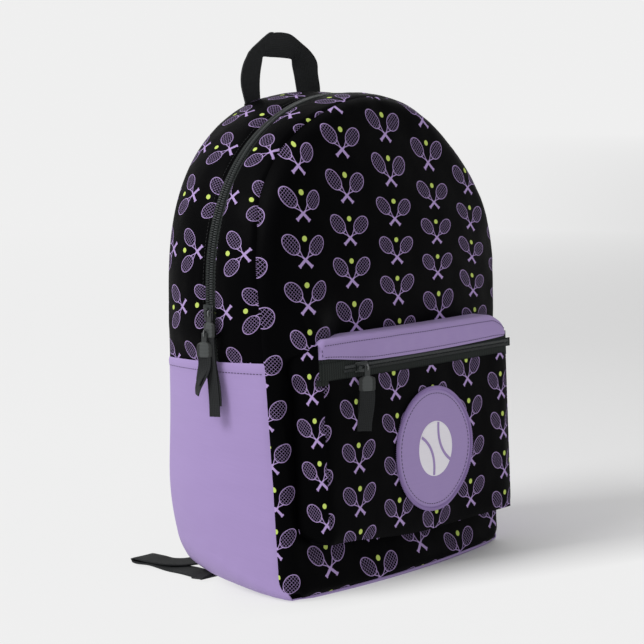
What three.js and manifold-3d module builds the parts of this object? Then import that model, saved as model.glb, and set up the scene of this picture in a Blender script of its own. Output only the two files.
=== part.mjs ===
// Racket backpack: a printed day pack with an arched main zip, a front pocket and padded straps.
// Millimetres, +Z up, the pocket side faces -Y, the origin is at the middle of the base.
import * as THREE from "three";
import { mergeVertices } from "three/addons/utils/BufferGeometryUtils.js";
import Module from "manifold-3d";

// Cloth and trim
const CLOTH = 2; // outer cloth with its backing, as one shell
const GAP = 0.4; // clearance between sewn neighbours
const CURVE_GAP = 1.2; // the same where both neighbours are curved
const LINING = 1;
const WEBBING = 1.8;

// Body: the side panels stand on the base and lean in towards the top
const FRONT_FOOT = -73;
const FRONT_LEAN = 0.083;
const BACK = 73;
const BACK_TUCK = 14;
const TUCK_HEIGHT = 104;
const HALF_FRONT = 164; // half width at the front seam
const HALF_RISE = 37.8; // it widens a little behind the seam
const HALF_FALL = 50.8; // and narrows towards the back
const SIDE_TAPER = 13;
const TOP = 430;
const SPRING = 270; // height where the sides turn into the arch
const WAIST = 201; // seam between the plain lower wrap and the printed arch
const FOLD = 229; // line that the open front folds along
const CROWN = 22; // how far the filled front panel stands forward
const CROWN_HEIGHT = 300;
const CROWN_SPREAD = 110;

// Main zip
const ZIP_Y = 5.5;
const ZIP_HALF = 5.5;
const COIL_HALF = 2;
const SLIDER = { width: 10, length: 14, height: 4 };
const PULL_STAND = 2; // the pull's hinge line stands this far off the slider
const PULL_SPREAD = 6.5; // each main pull hangs this far to its own side of the zip

// Front pocket
const POCKET_HALF = 138;
const POCKET_FOOT = 45;
const POCKET_FRONT = -100;
const POCKET_LEAN = 0.056;
const POCKET_ZIP_LOW = 190;
const POCKET_ZIP_HIGH = 207;
const POCKET_TOP = 226;
const POCKET_ZIP_START = -105;

// Round patch on the pocket
const PATCH = { x: 18, z: 113, radius: 57, thick: 1.2 };

// Handle and shoulder straps
const HANDLE_WIDTH = 24;
const HANDLE_Y = 74.4;
const HANDLE_FOOT = 427;
const STRAP_WIDTH = 25;
const PAD_WIDTH = 62;
const PAD_THICK = 11;

const lerp = (a, b, k) => a + (b - a) * k;
const vec = (x, y, z) => new THREE.Vector3(x, y, z);

// ---------------------------------------------------------------- materials

const look = (color, roughness, metalness = 0) =>
  new THREE.MeshStandardMaterial({ color, roughness, metalness });
const LOOKS = {
  print: look(0x141416, 0.5),
  plain: look(0xa38cc4, 0.6),
  black: look(0x1c1c1f, 0.8),
  webbing: look(0x2a302d, 0.8),
  tape: look(0x232826, 0.85),
  plastic: look(0x202422, 0.45),
  foam: look(0x3b3b40, 0.95),
  board: look(0x55555a, 0.7),
  white: look(0xf2f0f4, 0.6),
};

const backpack = new THREE.Group();

function add(name, geometry, material) {
  const mesh = new THREE.Mesh(geometry, material);
  mesh.name = name;
  backpack.add(mesh);
  return mesh;
}

// ---------------------------------------------------------------- solid builders

// A geometry from points and triangles, turned so that its faces point out.
function closed(points, triangles) {
  let volume = 0;
  for (const [a, b, c] of triangles) {
    volume += points[a].dot(vec(0, 0, 0).crossVectors(points[b], points[c]));
  }
  const ordered = volume < 0 ? triangles.map(([a, b, c]) => [a, c, b]) : triangles;
  const geometry = new THREE.BufferGeometry();
  geometry.setAttribute(
    "position",
    new THREE.Float32BufferAttribute(points.flatMap((p) => [p.x, p.y, p.z]), 3),
  );
  geometry.setIndex(ordered.flat());
  geometry.computeVertexNormals();
  return geometry;
}

// The closed sheet between two surfaces that share the same (u, v) grid.
function sheet(outer, inner, columns, rows) {
  const points = [];
  for (const surface of [outer, inner]) {
    for (let i = 0; i <= columns; i += 1) {
      for (let j = 0; j <= rows; j += 1) {
        points.push(surface(i / columns, j / rows));
      }
    }
  }
  const layer = (columns + 1) * (rows + 1);
  const at = (side, i, j) => side * layer + i * (rows + 1) + j;
  const triangles = [];
  const quad = (a, b, c, d) => triangles.push([a, b, c], [a, c, d]);
  for (let i = 0; i < columns; i += 1) {
    for (let j = 0; j < rows; j += 1) {
      quad(at(0, i, j), at(0, i + 1, j), at(0, i + 1, j + 1), at(0, i, j + 1));
      quad(at(1, i, j), at(1, i, j + 1), at(1, i + 1, j + 1), at(1, i + 1, j));
    }
    quad(at(0, i, 0), at(1, i, 0), at(1, i + 1, 0), at(0, i + 1, 0));
    quad(at(0, i, rows), at(0, i + 1, rows), at(1, i + 1, rows), at(1, i, rows));
  }
  for (let j = 0; j < rows; j += 1) {
    quad(at(0, 0, j), at(0, 0, j + 1), at(1, 0, j + 1), at(1, 0, j));
    quad(at(0, columns, j), at(1, columns, j), at(1, columns, j + 1), at(0, columns, j + 1));
  }
  return closed(points, triangles);
}

// A band swept along a smooth route. across(k) is its width direction, shape(v) its half thickness.
function band(route, width, across, halfThick, steps, rows = 1) {
  const curve = new THREE.CatmullRomCurve3(route, false, "centripetal");
  const place = (side) => (u, v) => {
    const point = curve.getPointAt(u);
    const wide = across(u, curve.getTangentAt(u)).normalize();
    const out = vec(0, 0, 0).crossVectors(wide, curve.getTangentAt(u)).normalize();
    const reach = typeof width === "function" ? width(u) : width;
    return point
      .addScaledVector(wide, (v - 0.5) * reach)
      .addScaledVector(out, side * halfThick(v));
  };
  return sheet(place(1), place(-1), steps, rows);
}

const flat = (thick) => () => thick / 2;
const alongX = () => vec(1, 0, 0);
const inFacePlane = (_, tangent) => vec(tangent.z, 0, -tangent.x);

// A flat outline in the X-Z plane, extruded from y towards the back.
function plate(outline, y, thick, holes = []) {
  const shape = new THREE.Shape(outline.map(([x, z]) => new THREE.Vector2(x, z)));
  for (const hole of holes) {
    shape.holes.push(new THREE.Path(hole.map(([x, z]) => new THREE.Vector2(x, z))));
  }
  const geometry = new THREE.ExtrudeGeometry(shape, { depth: thick, bevelEnabled: false });
  geometry.rotateX(Math.PI / 2);
  geometry.translate(0, y + thick, 0);
  return geometry;
}

function rectangle(x, z, width, height, chamfer = 0) {
  const [a, b, c] = [width / 2, height / 2, chamfer];
  const corners = [
    [-a + c, -b], [a - c, -b], [a, -b + c], [a, b - c],
    [a - c, b], [-a + c, b], [-a, b - c], [-a, -b + c],
  ];
  const kept = c > 0 ? corners : [[-a, -b], [a, -b], [a, b], [-a, b]];
  return kept.map(([dx, dz]) => [x + dx, z + dz]);
}

const manifold = await Module();
manifold.setup();

function solid(geometry) {
  const bare = geometry.clone();
  bare.deleteAttribute("normal");
  bare.deleteAttribute("uv");
  const merged = mergeVertices(bare);
  const mesh = new manifold.Mesh({
    numProp: 3,
    vertProperties: merged.getAttribute("position").array,
    triVerts: Uint32Array.from(merged.index.array),
  });
  return new manifold.Manifold(mesh);
}

function geometryOf(body) {
  const mesh = body.getMesh();
  const geometry = new THREE.BufferGeometry();
  geometry.setAttribute("position", new THREE.BufferAttribute(mesh.vertProperties, 3));
  geometry.setIndex(new THREE.BufferAttribute(mesh.triVerts, 1));
  geometry.computeVertexNormals();
  return geometry;
}

function block(width, depth, height, x, y, z) {
  return new THREE.BoxGeometry(width, depth, height).translate(x, y, z);
}

// ---------------------------------------------------------------- body shape

const frontSeam = (z) => FRONT_FOOT + FRONT_LEAN * z;
const backSeam = (z) => BACK - BACK_TUCK * Math.max(0, 1 - z / TUCK_HEIGHT) ** 2;

// The body's outline at depth t, 0 at the front seam and 1 at the back, drawn in by inset.
function section(t, inset = 0) {
  const bulge = Math.sin(Math.PI * Math.min(1, Math.max(0, t)));
  return {
    half: HALF_FRONT + HALF_RISE * t - HALF_FALL * t * t - inset,
    top: TOP - 3 * t + 4 * bulge - inset,
    spring: SPRING - 20 * t,
    power: 2 + 0.7 * t,
    corner: 10 + 35 * t,
    inset,
  };
}

const sideHalf = (s, z) => s.half - SIDE_TAPER * (Math.max(0, s.spring - z) / s.spring) ** 1.5;
const archTop = (s, x) =>
  s.spring + (s.top - s.spring) * Math.max(0, 1 - (x / s.half) ** 2) ** (1 / s.power);

// The depth share of a point at height z and depth y.
const share = (y, z) => (y - frontSeam(z)) / (backSeam(z) - frontSeam(z));

// Outline from the left side at height foot, over the top, to the right side: a goes from -1 to 1.
function archPoint(s, a, foot) {
  const straight = 0.2;
  const k = Math.abs(a);
  const sign = a < 0 ? -1 : 1;
  if (k > 1 - straight) {
    const z = lerp(foot, s.spring, (1 - k) / straight);
    return [sign * sideHalf(s, z), z];
  }
  const turn = (Math.PI / 2) * (k / (1 - straight));
  const rise = Math.max(0, Math.cos(turn)) ** (2 / s.power);
  return [sign * s.half * Math.sin(turn), s.spring + (s.top - s.spring) * rise];
}

// Outline from the left side at the waist, under the base, to the right side: a goes from -1 to 1.
function basePoint(s, a) {
  const [bottomEnd, cornerEnd] = [0.4, 0.6];
  const k = Math.abs(a);
  const sign = a < 0 ? -1 : 1;
  const centre = sideHalf(s, s.corner) - (s.corner - s.inset);
  if (k > cornerEnd) {
    const z = lerp(s.corner, WAIST - GAP, (k - cornerEnd) / (1 - cornerEnd));
    return [sign * sideHalf(s, z), z];
  }
  if (k < bottomEnd) {
    return [(sign * centre * k) / bottomEnd, s.inset];
  }
  const turn = (Math.PI / 2) * ((k - bottomEnd) / (cornerEnd - bottomEnd));
  const radius = s.corner - s.inset;
  return [sign * (centre + radius * Math.sin(turn)), s.corner - radius * Math.cos(turn)];
}

// A point of the side wall: outline gives it at a depth share, depthAt(z) is its depth.
function wall(outline, depthAt, inset) {
  let t = 0.5;
  let [x, z] = [0, 0];
  for (let pass = 0; pass < 8; pass += 1) {
    [x, z] = outline(section(t, inset));
    t = share(depthAt(z), z);
  }
  return vec(x, depthAt(z), z);
}

// A strip of the arched wall between two depths, starting at height foot on both sides.
function archStrip(near, far, foot, outset, thick, columns = 36, rows = 3, reach = 1) {
  const surface = (inset) => (u, v) =>
    wall(
      (s) => archPoint(s, lerp(-reach, reach, u), foot),
      (z) => lerp(near(z), far(z), v),
      inset,
    );
  return sheet(surface(-outset), surface(thick - outset), columns, rows);
}

// How far the filled front panel stands forward of its seam.
function crown(x, z) {
  const s = section(0);
  const rise = z > s.spring ? ((z - s.spring) / (s.top - s.spring)) ** s.power : 0;
  const inside = Math.max(0, 1 - (x / sideHalf(s, z)) ** 2 - rise);
  return CROWN * Math.exp(-(((z - CROWN_HEIGHT) / CROWN_SPREAD) ** 2)) * inside ** 0.6;
}

const frontFace = (x, z) => frontSeam(z) - crown(x, z);

// An upright panel between the heights low(x) and high(x), from depth(x, z) back by thick.
function panel(t, inset, low, high, depth, thick, columns, rows) {
  const s = section(t, inset);
  const surface = (back) => (u, v) => {
    const wide = Math.sin((Math.PI / 2) * lerp(-1, 1, u));
    const z = lerp(low(s, s.half * wide), high(s, s.half * wide), v);
    const x = wide * sideHalf(s, z);
    return vec(x, depth(x, z) + back, z);
  };
  return sheet(surface(0), surface(thick), columns, rows);
}

// Lowest edge of a panel: level, and round at the corners.
function cornerRise(s, x) {
  const centre = sideHalf(s, s.corner) - s.corner;
  const past = Math.min(s.corner * 0.98, Math.max(0, Math.abs(x) - centre));
  return s.corner - Math.sqrt(s.corner ** 2 - past ** 2);
}

// ---------------------------------------------------------------- body panels

function bodyPanels() {
  const bottomSeam = 3;
  add(
    "front_panel_lower",
    panel(0, 0, (s, x) => bottomSeam + cornerRise(s, x), () => FOLD - GAP, frontFace, CLOTH, 12, 8),
    LOOKS.print,
  );
  add(
    "front_panel_upper",
    panel(0, 0, () => FOLD + GAP, archTop, frontFace, CLOTH, 16, 9),
    LOOKS.print,
  );
  const rear = (offset) => (x, z) => backSeam(z) - offset;
  add(
    "back_panel",
    panel(1, 0, (s, x) => 1 + cornerRise(s, x), archTop, rear(CLOTH), CLOTH, 16, 12),
    LOOKS.black,
  );
  const foam = 8;
  const foamFace = CLOTH + CURVE_GAP + foam;
  add(
    "back_foam",
    panel(1, 16, () => 24, archTop, rear(foamFace), foam, 10, 7),
    LOOKS.foam,
  );
  add(
    "back_lining",
    panel(1, 6, () => 22, archTop, rear(foamFace + CURVE_GAP + LINING), LINING, 10, 7),
    LOOKS.black,
  );
}

function sideWalls() {
  const nearFront = (z) => frontSeam(z) + CLOTH + GAP;
  const nearBack = (z) => backSeam(z) - CLOTH - CURVE_GAP;
  const zipFront = () => ZIP_Y - ZIP_HALF - GAP;
  const zipBack = () => ZIP_Y + ZIP_HALF + GAP;
  add("gusset_front", archStrip(nearFront, zipFront, FOLD + 3, 0, CLOTH), LOOKS.print);
  add("gusset_rear", archStrip(zipBack, nearBack, WAIST + GAP, 0, CLOTH), LOOKS.print);
  for (const [side, sign] of [["left", -1], ["right", 1]]) {
    const surface = (inset) => (u, v) =>
      wall(
        (s) => {
          const z = lerp(WAIST + GAP, FOLD + 3 - GAP, u);
          return [sign * sideHalf(s, z), z];
        },
        (z) => lerp(nearFront(z), ZIP_Y - GAP / 2, v),
        inset,
      );
    add(`gusset_end_${side}`, sheet(surface(0), surface(CLOTH), 2, 4), LOOKS.print);
  }
  const wrap = (inset) => (u, v) =>
    wall(
      (s) => basePoint(s, lerp(-1, 1, u)),
      (z) => lerp(nearFront(z), nearBack(z), v),
      inset,
    );
  add("lower_wrap", sheet(wrap(0), wrap(CLOTH), 30, 8), LOOKS.plain);
}

function bottomBoard() {
  const [low, thick, front, back] = [CLOTH + 0.6, 3, -64, 48];
  const surface = (z) => (u, v) => vec(lerp(-1, 1, u) * lerp(132, 100, v), lerp(front, back, v), z);
  add("bottom_board", sheet(surface(low + thick), surface(low), 2, 1), LOOKS.board);
}

function mainZip() {
  const inner = COIL_HALF + 0.3;
  const low = WAIST + 3;
  const tape = 1;
  const sunk = -0.4;
  const proud = 1.1;
  add(
    "main_zip_tape_rear",
    archStrip(() => ZIP_Y + inner, () => ZIP_Y + ZIP_HALF, low, sunk, tape, 36, 1),
    LOOKS.tape,
  );
  add(
    "main_zip_coil_rear",
    archStrip(() => ZIP_Y + 0.2, () => ZIP_Y + COIL_HALF, low, proud, 2, 36, 1),
    LOOKS.plastic,
  );
  add(
    "main_zip_tape_front",
    archStrip(() => ZIP_Y - ZIP_HALF, () => ZIP_Y - inner, FOLD + 3, sunk, tape, 36, 1),
    LOOKS.tape,
  );
  add(
    "main_zip_coil_front",
    archStrip(() => ZIP_Y - COIL_HALF, () => ZIP_Y - 0.2, FOLD + 3, proud, 2, 36, 1),
    LOOKS.plastic,
  );
}

// A slider body with its raised bridge: length runs along Z and it faces -Y before it is turned.
function sliderBody() {
  const { width, length, height } = SLIDER;
  const base = solid(block(width, height - 1.6, length, 0, -(height - 1.6) / 2, 0));
  const bridge = solid(block(3, 2, length - 5, 0, -height + 1, 0));
  return geometryOf(base.add(bridge));
}

// A pull: a moulded grip with a stem, then a doubled length of webbing below it.
function pullParts(name, length, width, turn, place, bend = 0) {
  const grip = 20;
  const thick = 2.4;
  const outline = [
    [-2.5, 1.2], [2.5, 1.2], [width / 2, -7], [width / 2, -grip], [-width / 2, -grip], [-width / 2, -7],
  ];
  const tab = plate(outline, -thick / 2, thick);
  const route = [
    vec(0, 0, -grip - GAP),
    vec(0, 0, lerp(-grip, -length, 0.5)),
    vec(bend, 0, -length),
  ];
  const tail = band(route, width - 1, alongX, flat(1.8), 4);
  for (const [suffix, geometry, material] of [
    ["grip", tab, LOOKS.plastic],
    ["webbing", tail, LOOKS.webbing],
  ]) {
    geometry.rotateZ(turn);
    geometry.translate(...place);
    add(`${name}_${suffix}`, geometry, material);
  }
}

const MAIN_SLIDER_UPPER_Z = 246;
const MAIN_SLIDER_LOWER_Z = 229;

function mainSliders() {
  const side = -Math.PI / 2;
  const face = wall((s) => [-sideHalf(s, SPRING), SPRING], () => ZIP_Y, -1.5).x;
  const plane = face - SLIDER.height - PULL_STAND;
  for (const [name, z] of [
    ["main_slider_upper", MAIN_SLIDER_UPPER_Z],
    ["main_slider_lower", MAIN_SLIDER_LOWER_Z],
  ]) {
    const geometry = sliderBody();
    geometry.rotateZ(side);
    geometry.translate(face, ZIP_Y, z);
    add(name, geometry, LOOKS.plastic);
  }
  pullParts("main_pull_upper", 88, 12, side, [plane, ZIP_Y - PULL_SPREAD, MAIN_SLIDER_UPPER_Z], 4);
  pullParts("main_pull_lower", 52, 12, side, [plane, ZIP_Y + PULL_SPREAD, MAIN_SLIDER_LOWER_Z], -4);
}

// ---------------------------------------------------------------- front pocket

const pocketFace = (z) => POCKET_FRONT + POCKET_LEAN * z;

function pocketSheet(left, right, low, high, outset, thick, columns = 4, rows = 1) {
  const surface = (back) => (u, v) => {
    const z = lerp(low, high, v);
    return vec(lerp(left, right, u), pocketFace(z) + back, z);
  };
  return sheet(surface(-outset), surface(thick - outset), columns, rows);
}

function pocket() {
  const half = POCKET_HALF - 2;
  add(
    "pocket_front",
    pocketSheet(-half, half, POCKET_FOOT + 1, POCKET_ZIP_LOW, 0, CLOTH, 4, 3),
    LOOKS.print,
  );
  // The pocket's wall: down the left side, along the bottom and up the right side.
  const radius = 14;
  const rim = (a, inset) => {
    const sign = a < 0 ? -1 : 1;
    const k = Math.abs(a);
    const [x, z] = [POCKET_HALF - inset, POCKET_FOOT + inset];
    if (k > 0.55) {
      return [sign * x, lerp(POCKET_FOOT + radius, POCKET_ZIP_HIGH, (k - 0.55) / 0.45)];
    }
    if (k < 0.4) {
      return [(sign * (POCKET_HALF - radius) * k) / 0.4, z];
    }
    const turn = (Math.PI / 2) * ((k - 0.4) / 0.15);
    const bend = radius - inset;
    return [
      sign * (POCKET_HALF - radius + bend * Math.sin(turn)),
      POCKET_FOOT + radius - bend * Math.cos(turn),
    ];
  };
  const surface = (inset) => (u, v) => {
    const [x, z] = rim(lerp(-1, 1, u), inset);
    const near = pocketFace(z) + CLOTH + GAP;
    const far = Math.min(frontFace(x, z), frontFace(Math.abs(x) - 2, z)) - GAP;
    return vec(x, lerp(near, far, v), z);
  };
  add("pocket_gusset", sheet(surface(0), surface(CLOTH), 26, 2), LOOKS.print);
}

function pocketLid() {
  const half = POCKET_HALF - 2;
  const round = 7;
  // Side view of the strip: up the front, over a round edge, back to the body.
  const profile = (v, x, inset) => {
    const front = pocketFace(POCKET_TOP) + inset;
    const top = POCKET_TOP - inset;
    const bend = round - inset;
    const back = frontFace(x, POCKET_TOP + 2) - GAP;
    if (v < 0.3) {
      const z = lerp(POCKET_ZIP_HIGH + GAP, POCKET_TOP - round, v / 0.3);
      return [lerp(pocketFace(z) + inset, front, v / 0.3), z];
    }
    if (v > 0.7) {
      return [lerp(front + bend, back, (v - 0.7) / 0.3), top];
    }
    const turn = (Math.PI / 2) * ((v - 0.3) / 0.4);
    return [front + bend * (1 - Math.cos(turn)), POCKET_TOP - round + bend * Math.sin(turn)];
  };
  const surface = (inset) => (u, v) => {
    const x = lerp(-half, half, u);
    const [y, z] = profile(v, x, inset);
    return vec(x, y, z);
  };
  add("pocket_top_strip", sheet(surface(0), surface(CLOTH), 12, 8), LOOKS.plain);
}

function pocketZip() {
  const half = POCKET_HALF - 2;
  const middle = (POCKET_ZIP_LOW + POCKET_ZIP_HIGH) / 2;
  const inner = COIL_HALF + 0.3;
  add(
    "pocket_zip_tape_lower",
    pocketSheet(-half, half, POCKET_ZIP_LOW + GAP, middle - inner, -0.4, 1),
    LOOKS.tape,
  );
  add(
    "pocket_zip_tape_upper",
    pocketSheet(-half, half, middle + inner, POCKET_ZIP_HIGH - GAP, -0.4, 1),
    LOOKS.tape,
  );
  const coil = (low, high) => pocketSheet(POCKET_ZIP_START, half - 3, low, high, 1.1, 2);
  add("pocket_zip_coil_lower", coil(middle - COIL_HALF, middle - 0.2), LOOKS.plastic);
  add("pocket_zip_coil_upper", coil(middle + 0.2, middle + COIL_HALF), LOOKS.plastic);
  const [x, z, y] = [-84, middle, pocketFace(middle) - 1.5];
  const slider = sliderBody();
  slider.rotateY(Math.PI / 2);
  slider.translate(x, y, z);
  add("pocket_slider", slider, LOOKS.plastic);
  pullParts("pocket_pull", 52, 16, 0, [x, y - SLIDER.height - PULL_STAND, z]);
}

// A disc on the pocket front: a square grid drawn onto a circle, then laid on the slope.
function disc(x, z, radius, outset, thick, divisions) {
  const surface = (back) => (u, v) => {
    const [a, b] = [lerp(-1, 1, u), lerp(-1, 1, v)];
    const dx = radius * a * Math.sqrt(1 - (b * b) / 2);
    const dz = radius * b * Math.sqrt(1 - (a * a) / 2);
    return vec(x + dx, pocketFace(z + dz) + back, z + dz);
  };
  return sheet(surface(-outset), surface(thick - outset), divisions, divisions);
}

function patch() {
  const outset = PATCH.thick + 0.3;
  add("patch", disc(PATCH.x, PATCH.z, PATCH.radius, outset, PATCH.thick, 10), LOOKS.plain);
  add(
    "patch_emblem",
    disc(PATCH.x, PATCH.z, PATCH.radius * 0.42, outset + 0.7, 0.5, 8),
    LOOKS.white,
  );
}

// ---------------------------------------------------------------- laptop sleeve

function sleeve() {
  const [half, low, high, front, back, wallThick] = [125, 62, 280, 45.5, 55.5, 1.6];
  const outer = solid(
    block(2 * half, back - front, high - low, 0, (front + back) / 2, (low + high) / 2),
  );
  const room = solid(
    block(
      2 * (half - wallThick), back - front, high - low,
      0, (front + back) / 2 + wallThick, (low + high) / 2 + wallThick,
    ),
  );
  add("laptop_sleeve", geometryOf(outer.subtract(room)), LOOKS.black);
  add(
    "sleeve_binding",
    block(2 * half, 3.2, 8, 0, front + wallThick / 2, high + 4 + GAP),
    LOOKS.webbing,
  );
}

// ---------------------------------------------------------------- handle and straps

function handle() {
  const route = [
    vec(-44, HANDLE_Y, HANDLE_FOOT + GAP),
    vec(-44, HANDLE_Y, 434),
    vec(-47, HANDLE_Y, 448),
    vec(-37, HANDLE_Y, 466),
    vec(-10, HANDLE_Y, 478),
    vec(18, HANDLE_Y, 471),
    vec(32, HANDLE_Y, 452),
    vec(34, HANDLE_Y, 434),
    vec(34, HANDLE_Y, HANDLE_FOOT + GAP),
  ];
  add("handle", band(route, HANDLE_WIDTH, inFacePlane, flat(2.2), 22), LOOKS.webbing);
  for (const [side, x] of [["left", -44], ["right", 34]]) {
    add(
      `handle_foot_${side}`,
      plate(rectangle(x, 412.5, HANDLE_WIDTH, 26), BACK + GAP, 1.6),
      LOOKS.webbing,
    );
  }
  const yoke = [[-85, 390], [85, 390], [85, 396], [58, 413.5], [-58, 413.5], [-85, 396]];
  add("strap_yoke", plate(yoke, BACK + 2.6, 1.6), LOOKS.black);
}

const PAD_TOP_Z = 392;
const BUCKLE_Z = 160;

function shoulderStrap(side, sign) {
  const route = [
    vec(sign * 52, 84, PAD_TOP_Z),
    vec(sign * 60, 87, 350),
    vec(sign * 74, 91, 300),
    vec(sign * 88, 90, 245),
    vec(sign * 96, 86, 196),
  ];
  const width = (u) => lerp(PAD_WIDTH, 44, Math.max(0, (u - 0.6) / 0.4) ** 2);
  const soft = (v) => (PAD_THICK / 2) * (1 - 0.6 * Math.abs(2 * v - 1) ** 4);
  add(
    `shoulder_pad_${side}`,
    band(route, width, inFacePlane, soft, 12, 6),
    LOOKS.black,
  );
  const x = sign * 97;
  add(
    `pad_tab_${side}`,
    plate(rectangle(x, 183, STRAP_WIDTH, 16), 83.4, WEBBING),
    LOOKS.webbing,
  );
  const slots = [rectangle(x, BUCKLE_Z + 6.5, 27, 5), rectangle(x, BUCKLE_Z - 4.5, 27, 6)];
  add(
    `ladder_lock_${side}`,
    plate(rectangle(x, BUCKLE_Z, 34, 26, 3), 82.4, 4, slots),
    LOOKS.plastic,
  );
  add(
    `strap_tail_${side}`,
    band([vec(x, 89, 158), vec(x, 89.5, 125), vec(x - sign, 90.5, 92)], STRAP_WIDTH, alongX,
      flat(WEBBING), 6),
    LOOKS.webbing,
  );
}

// The slack lower webbing: out of the corner seam, along the floor, folded back and up to the lock.
function lowerWebbing(side, sign) {
  const floor = 0.5 + WEBBING / 2;
  const points = [
    [138, 42, floor + 0.4], [137, 72, floor], [135, 104, floor], [134, 124, floor],
    [133, 129.5, floor + 1], [133, 131, floor + 2.6], [132.6, 129, floor + 4], [131, 122, floor + 4.2],
    [126, 108, floor + 3.6], [120, 96, floor + 5], [115, 89, floor + 14], [111, 85, 40],
    [105, 82.5, 80], [99, 80, 120], [97, 79, 164],
  ];
  const route = points.map(([x, y, z]) => vec(sign * x, y, z));
  add(`lower_webbing_${side}`, band(route, STRAP_WIDTH, alongX, flat(WEBBING), 40), LOOKS.webbing);
  const tab = (z) => (u, v) =>
    vec(sign * lerp(152, 129, u), lerp(41, 53, v), z + 2 * (1 - u));
  add(`strap_anchor_${side}`, sheet(tab(4.2), tab(3.2), 2, 2), LOOKS.black);
}

// ---------------------------------------------------------------- assembly

bodyPanels();
sideWalls();
bottomBoard();
mainZip();
mainSliders();
pocket();
pocketLid();
pocketZip();
patch();
sleeve();
handle();
for (const [side, sign] of [["left", -1], ["right", 1]]) {
  shoulderStrap(side, sign);
  lowerWebbing(side, sign);
}

export default backpack;
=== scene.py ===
"""Racket backpack: printed shell, arched main zip, zipped front pocket with a round patch,
webbing handle and padded shoulder straps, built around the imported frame.
Shapes are worked out in millimetres and written to the meshes in metres."""
import math

import bpy
import numpy as np
from mathutils import Matrix, Vector


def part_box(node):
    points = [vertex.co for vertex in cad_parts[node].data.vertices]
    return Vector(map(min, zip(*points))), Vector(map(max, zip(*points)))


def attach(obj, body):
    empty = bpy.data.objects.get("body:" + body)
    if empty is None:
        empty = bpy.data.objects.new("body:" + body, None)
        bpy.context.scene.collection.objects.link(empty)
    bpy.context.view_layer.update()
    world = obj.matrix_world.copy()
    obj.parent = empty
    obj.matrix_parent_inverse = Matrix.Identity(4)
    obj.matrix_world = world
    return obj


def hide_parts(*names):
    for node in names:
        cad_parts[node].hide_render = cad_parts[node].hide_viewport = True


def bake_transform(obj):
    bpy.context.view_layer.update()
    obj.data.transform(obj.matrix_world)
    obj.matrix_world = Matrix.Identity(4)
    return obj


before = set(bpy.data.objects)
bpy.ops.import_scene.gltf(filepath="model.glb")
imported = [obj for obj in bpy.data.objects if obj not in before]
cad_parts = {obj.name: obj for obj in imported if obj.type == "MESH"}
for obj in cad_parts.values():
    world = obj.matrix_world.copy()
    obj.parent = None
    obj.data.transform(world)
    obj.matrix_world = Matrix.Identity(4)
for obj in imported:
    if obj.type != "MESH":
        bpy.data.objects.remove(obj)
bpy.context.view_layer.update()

MM = 0.001
CORE = np.array([0.0, 0.0, 215.0])  # a point inside the bag, which every outer face looks away from

# Body shell, the same driving sizes as the CAD part
FRONT_FOOT, FRONT_LEAN = -73.0, 0.083
BACK, BACK_TUCK, TUCK_HEIGHT = 73.0, 14.0, 104.0
HALF_FRONT, HALF_RISE, HALF_FALL, SIDE_TAPER = 164.0, 37.8, 50.8, 13.0
TOP, SPRING = 430.0, 270.0
CROWN, CROWN_HEIGHT, CROWN_SPREAD = 22.0, 300.0, 110.0
ZIP_Y, ZIP_OPENING = 5.5, 5.4
CLOTH = 1.3

# Front pocket
POCKET_HALF, POCKET_FOOT, POCKET_FRONT, POCKET_LEAN = 138.0, 47.0, -100.0, 0.056
POCKET_SEAM, POCKET_RIGHT = 131.0, 137.0  # the pocket's side seams, left and right of the middle
POCKET_ZIP_LOW, POCKET_ZIP_HIGH, POCKET_TOP, POCKET_ZIP_MIDDLE = 190.0, 207.0, 226.0, 198.5

BLEND_START, BLEND_END = (0, -0.0685, 0.214), (0, -0.0685, 0.246)


# ------------------------------------------------------------------ small maths

def mix(a, b, k):
    return a + (b - a) * k


def ease(t):
    t = np.clip(t, 0, 1)
    return t * t * (3 - 2 * t)


def unit(vectors):
    return vectors / np.maximum(np.linalg.norm(vectors, axis=-1, keepdims=True), 1e-9)


def ripple(u, v, seed, wavelength):
    """Soft unevenness, about -1 to 1, from a few crossing waves."""
    draw = np.random.default_rng(seed)
    total, waves = 0.0, 7
    for _ in range(waves):
        angle, phase, size = draw.uniform(0, 2 * math.pi, 2).tolist() + [draw.uniform(0.6, 1.6)]
        k = 2 * math.pi / (wavelength * size)
        total = total + size * np.sin(k * (u * math.cos(angle) + v * math.sin(angle)) + phase)
    return total / waves


def smooth_path(points, count):
    """Points evenly spaced along a centripetal Catmull-Rom curve, with any number of columns."""
    p = np.asarray(points, float)
    p = np.vstack([2 * p[0] - p[1], p, 2 * p[-1] - p[-2]])
    knots = np.concatenate([[0], np.cumsum(np.linalg.norm(np.diff(p[:, :3], axis=0), axis=1) ** 0.5)])
    fine = []
    for i in range(1, len(p) - 2):
        t = np.linspace(knots[i], knots[i + 1], 24, endpoint=i == len(p) - 3)[:, None]
        a = [((knots[j + 1] - t) * p[j] + (t - knots[j]) * p[j + 1]) / (knots[j + 1] - knots[j])
             for j in (i - 1, i, i + 1)]
        b = [((knots[j + 2] - t) * a[k] + (t - knots[j]) * a[k + 1]) / (knots[j + 2] - knots[j])
             for k, j in enumerate((i - 1, i))]
        fine.append(((knots[i + 1] - t) * b[0] + (t - knots[i]) * b[1]) / (knots[i + 1] - knots[i]))
    return resample(np.vstack(fine), count)


def run_of(path):
    """Length along a path up to each of its points."""
    return np.concatenate([[0], np.cumsum(np.linalg.norm(np.diff(path[:, :3], axis=0), axis=1))])


def resample(path, count):
    s = run_of(path)
    at = np.linspace(0, s[-1], count)
    return np.stack([np.interp(at, s, path[:, k]) for k in range(path.shape[1])], 1)


def path_length(path):
    return float(np.linalg.norm(np.diff(path[:, :3], axis=0), axis=1).sum())


# ------------------------------------------------------------------ body shape

def front_seam(z):
    return FRONT_FOOT + FRONT_LEAN * z


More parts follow.
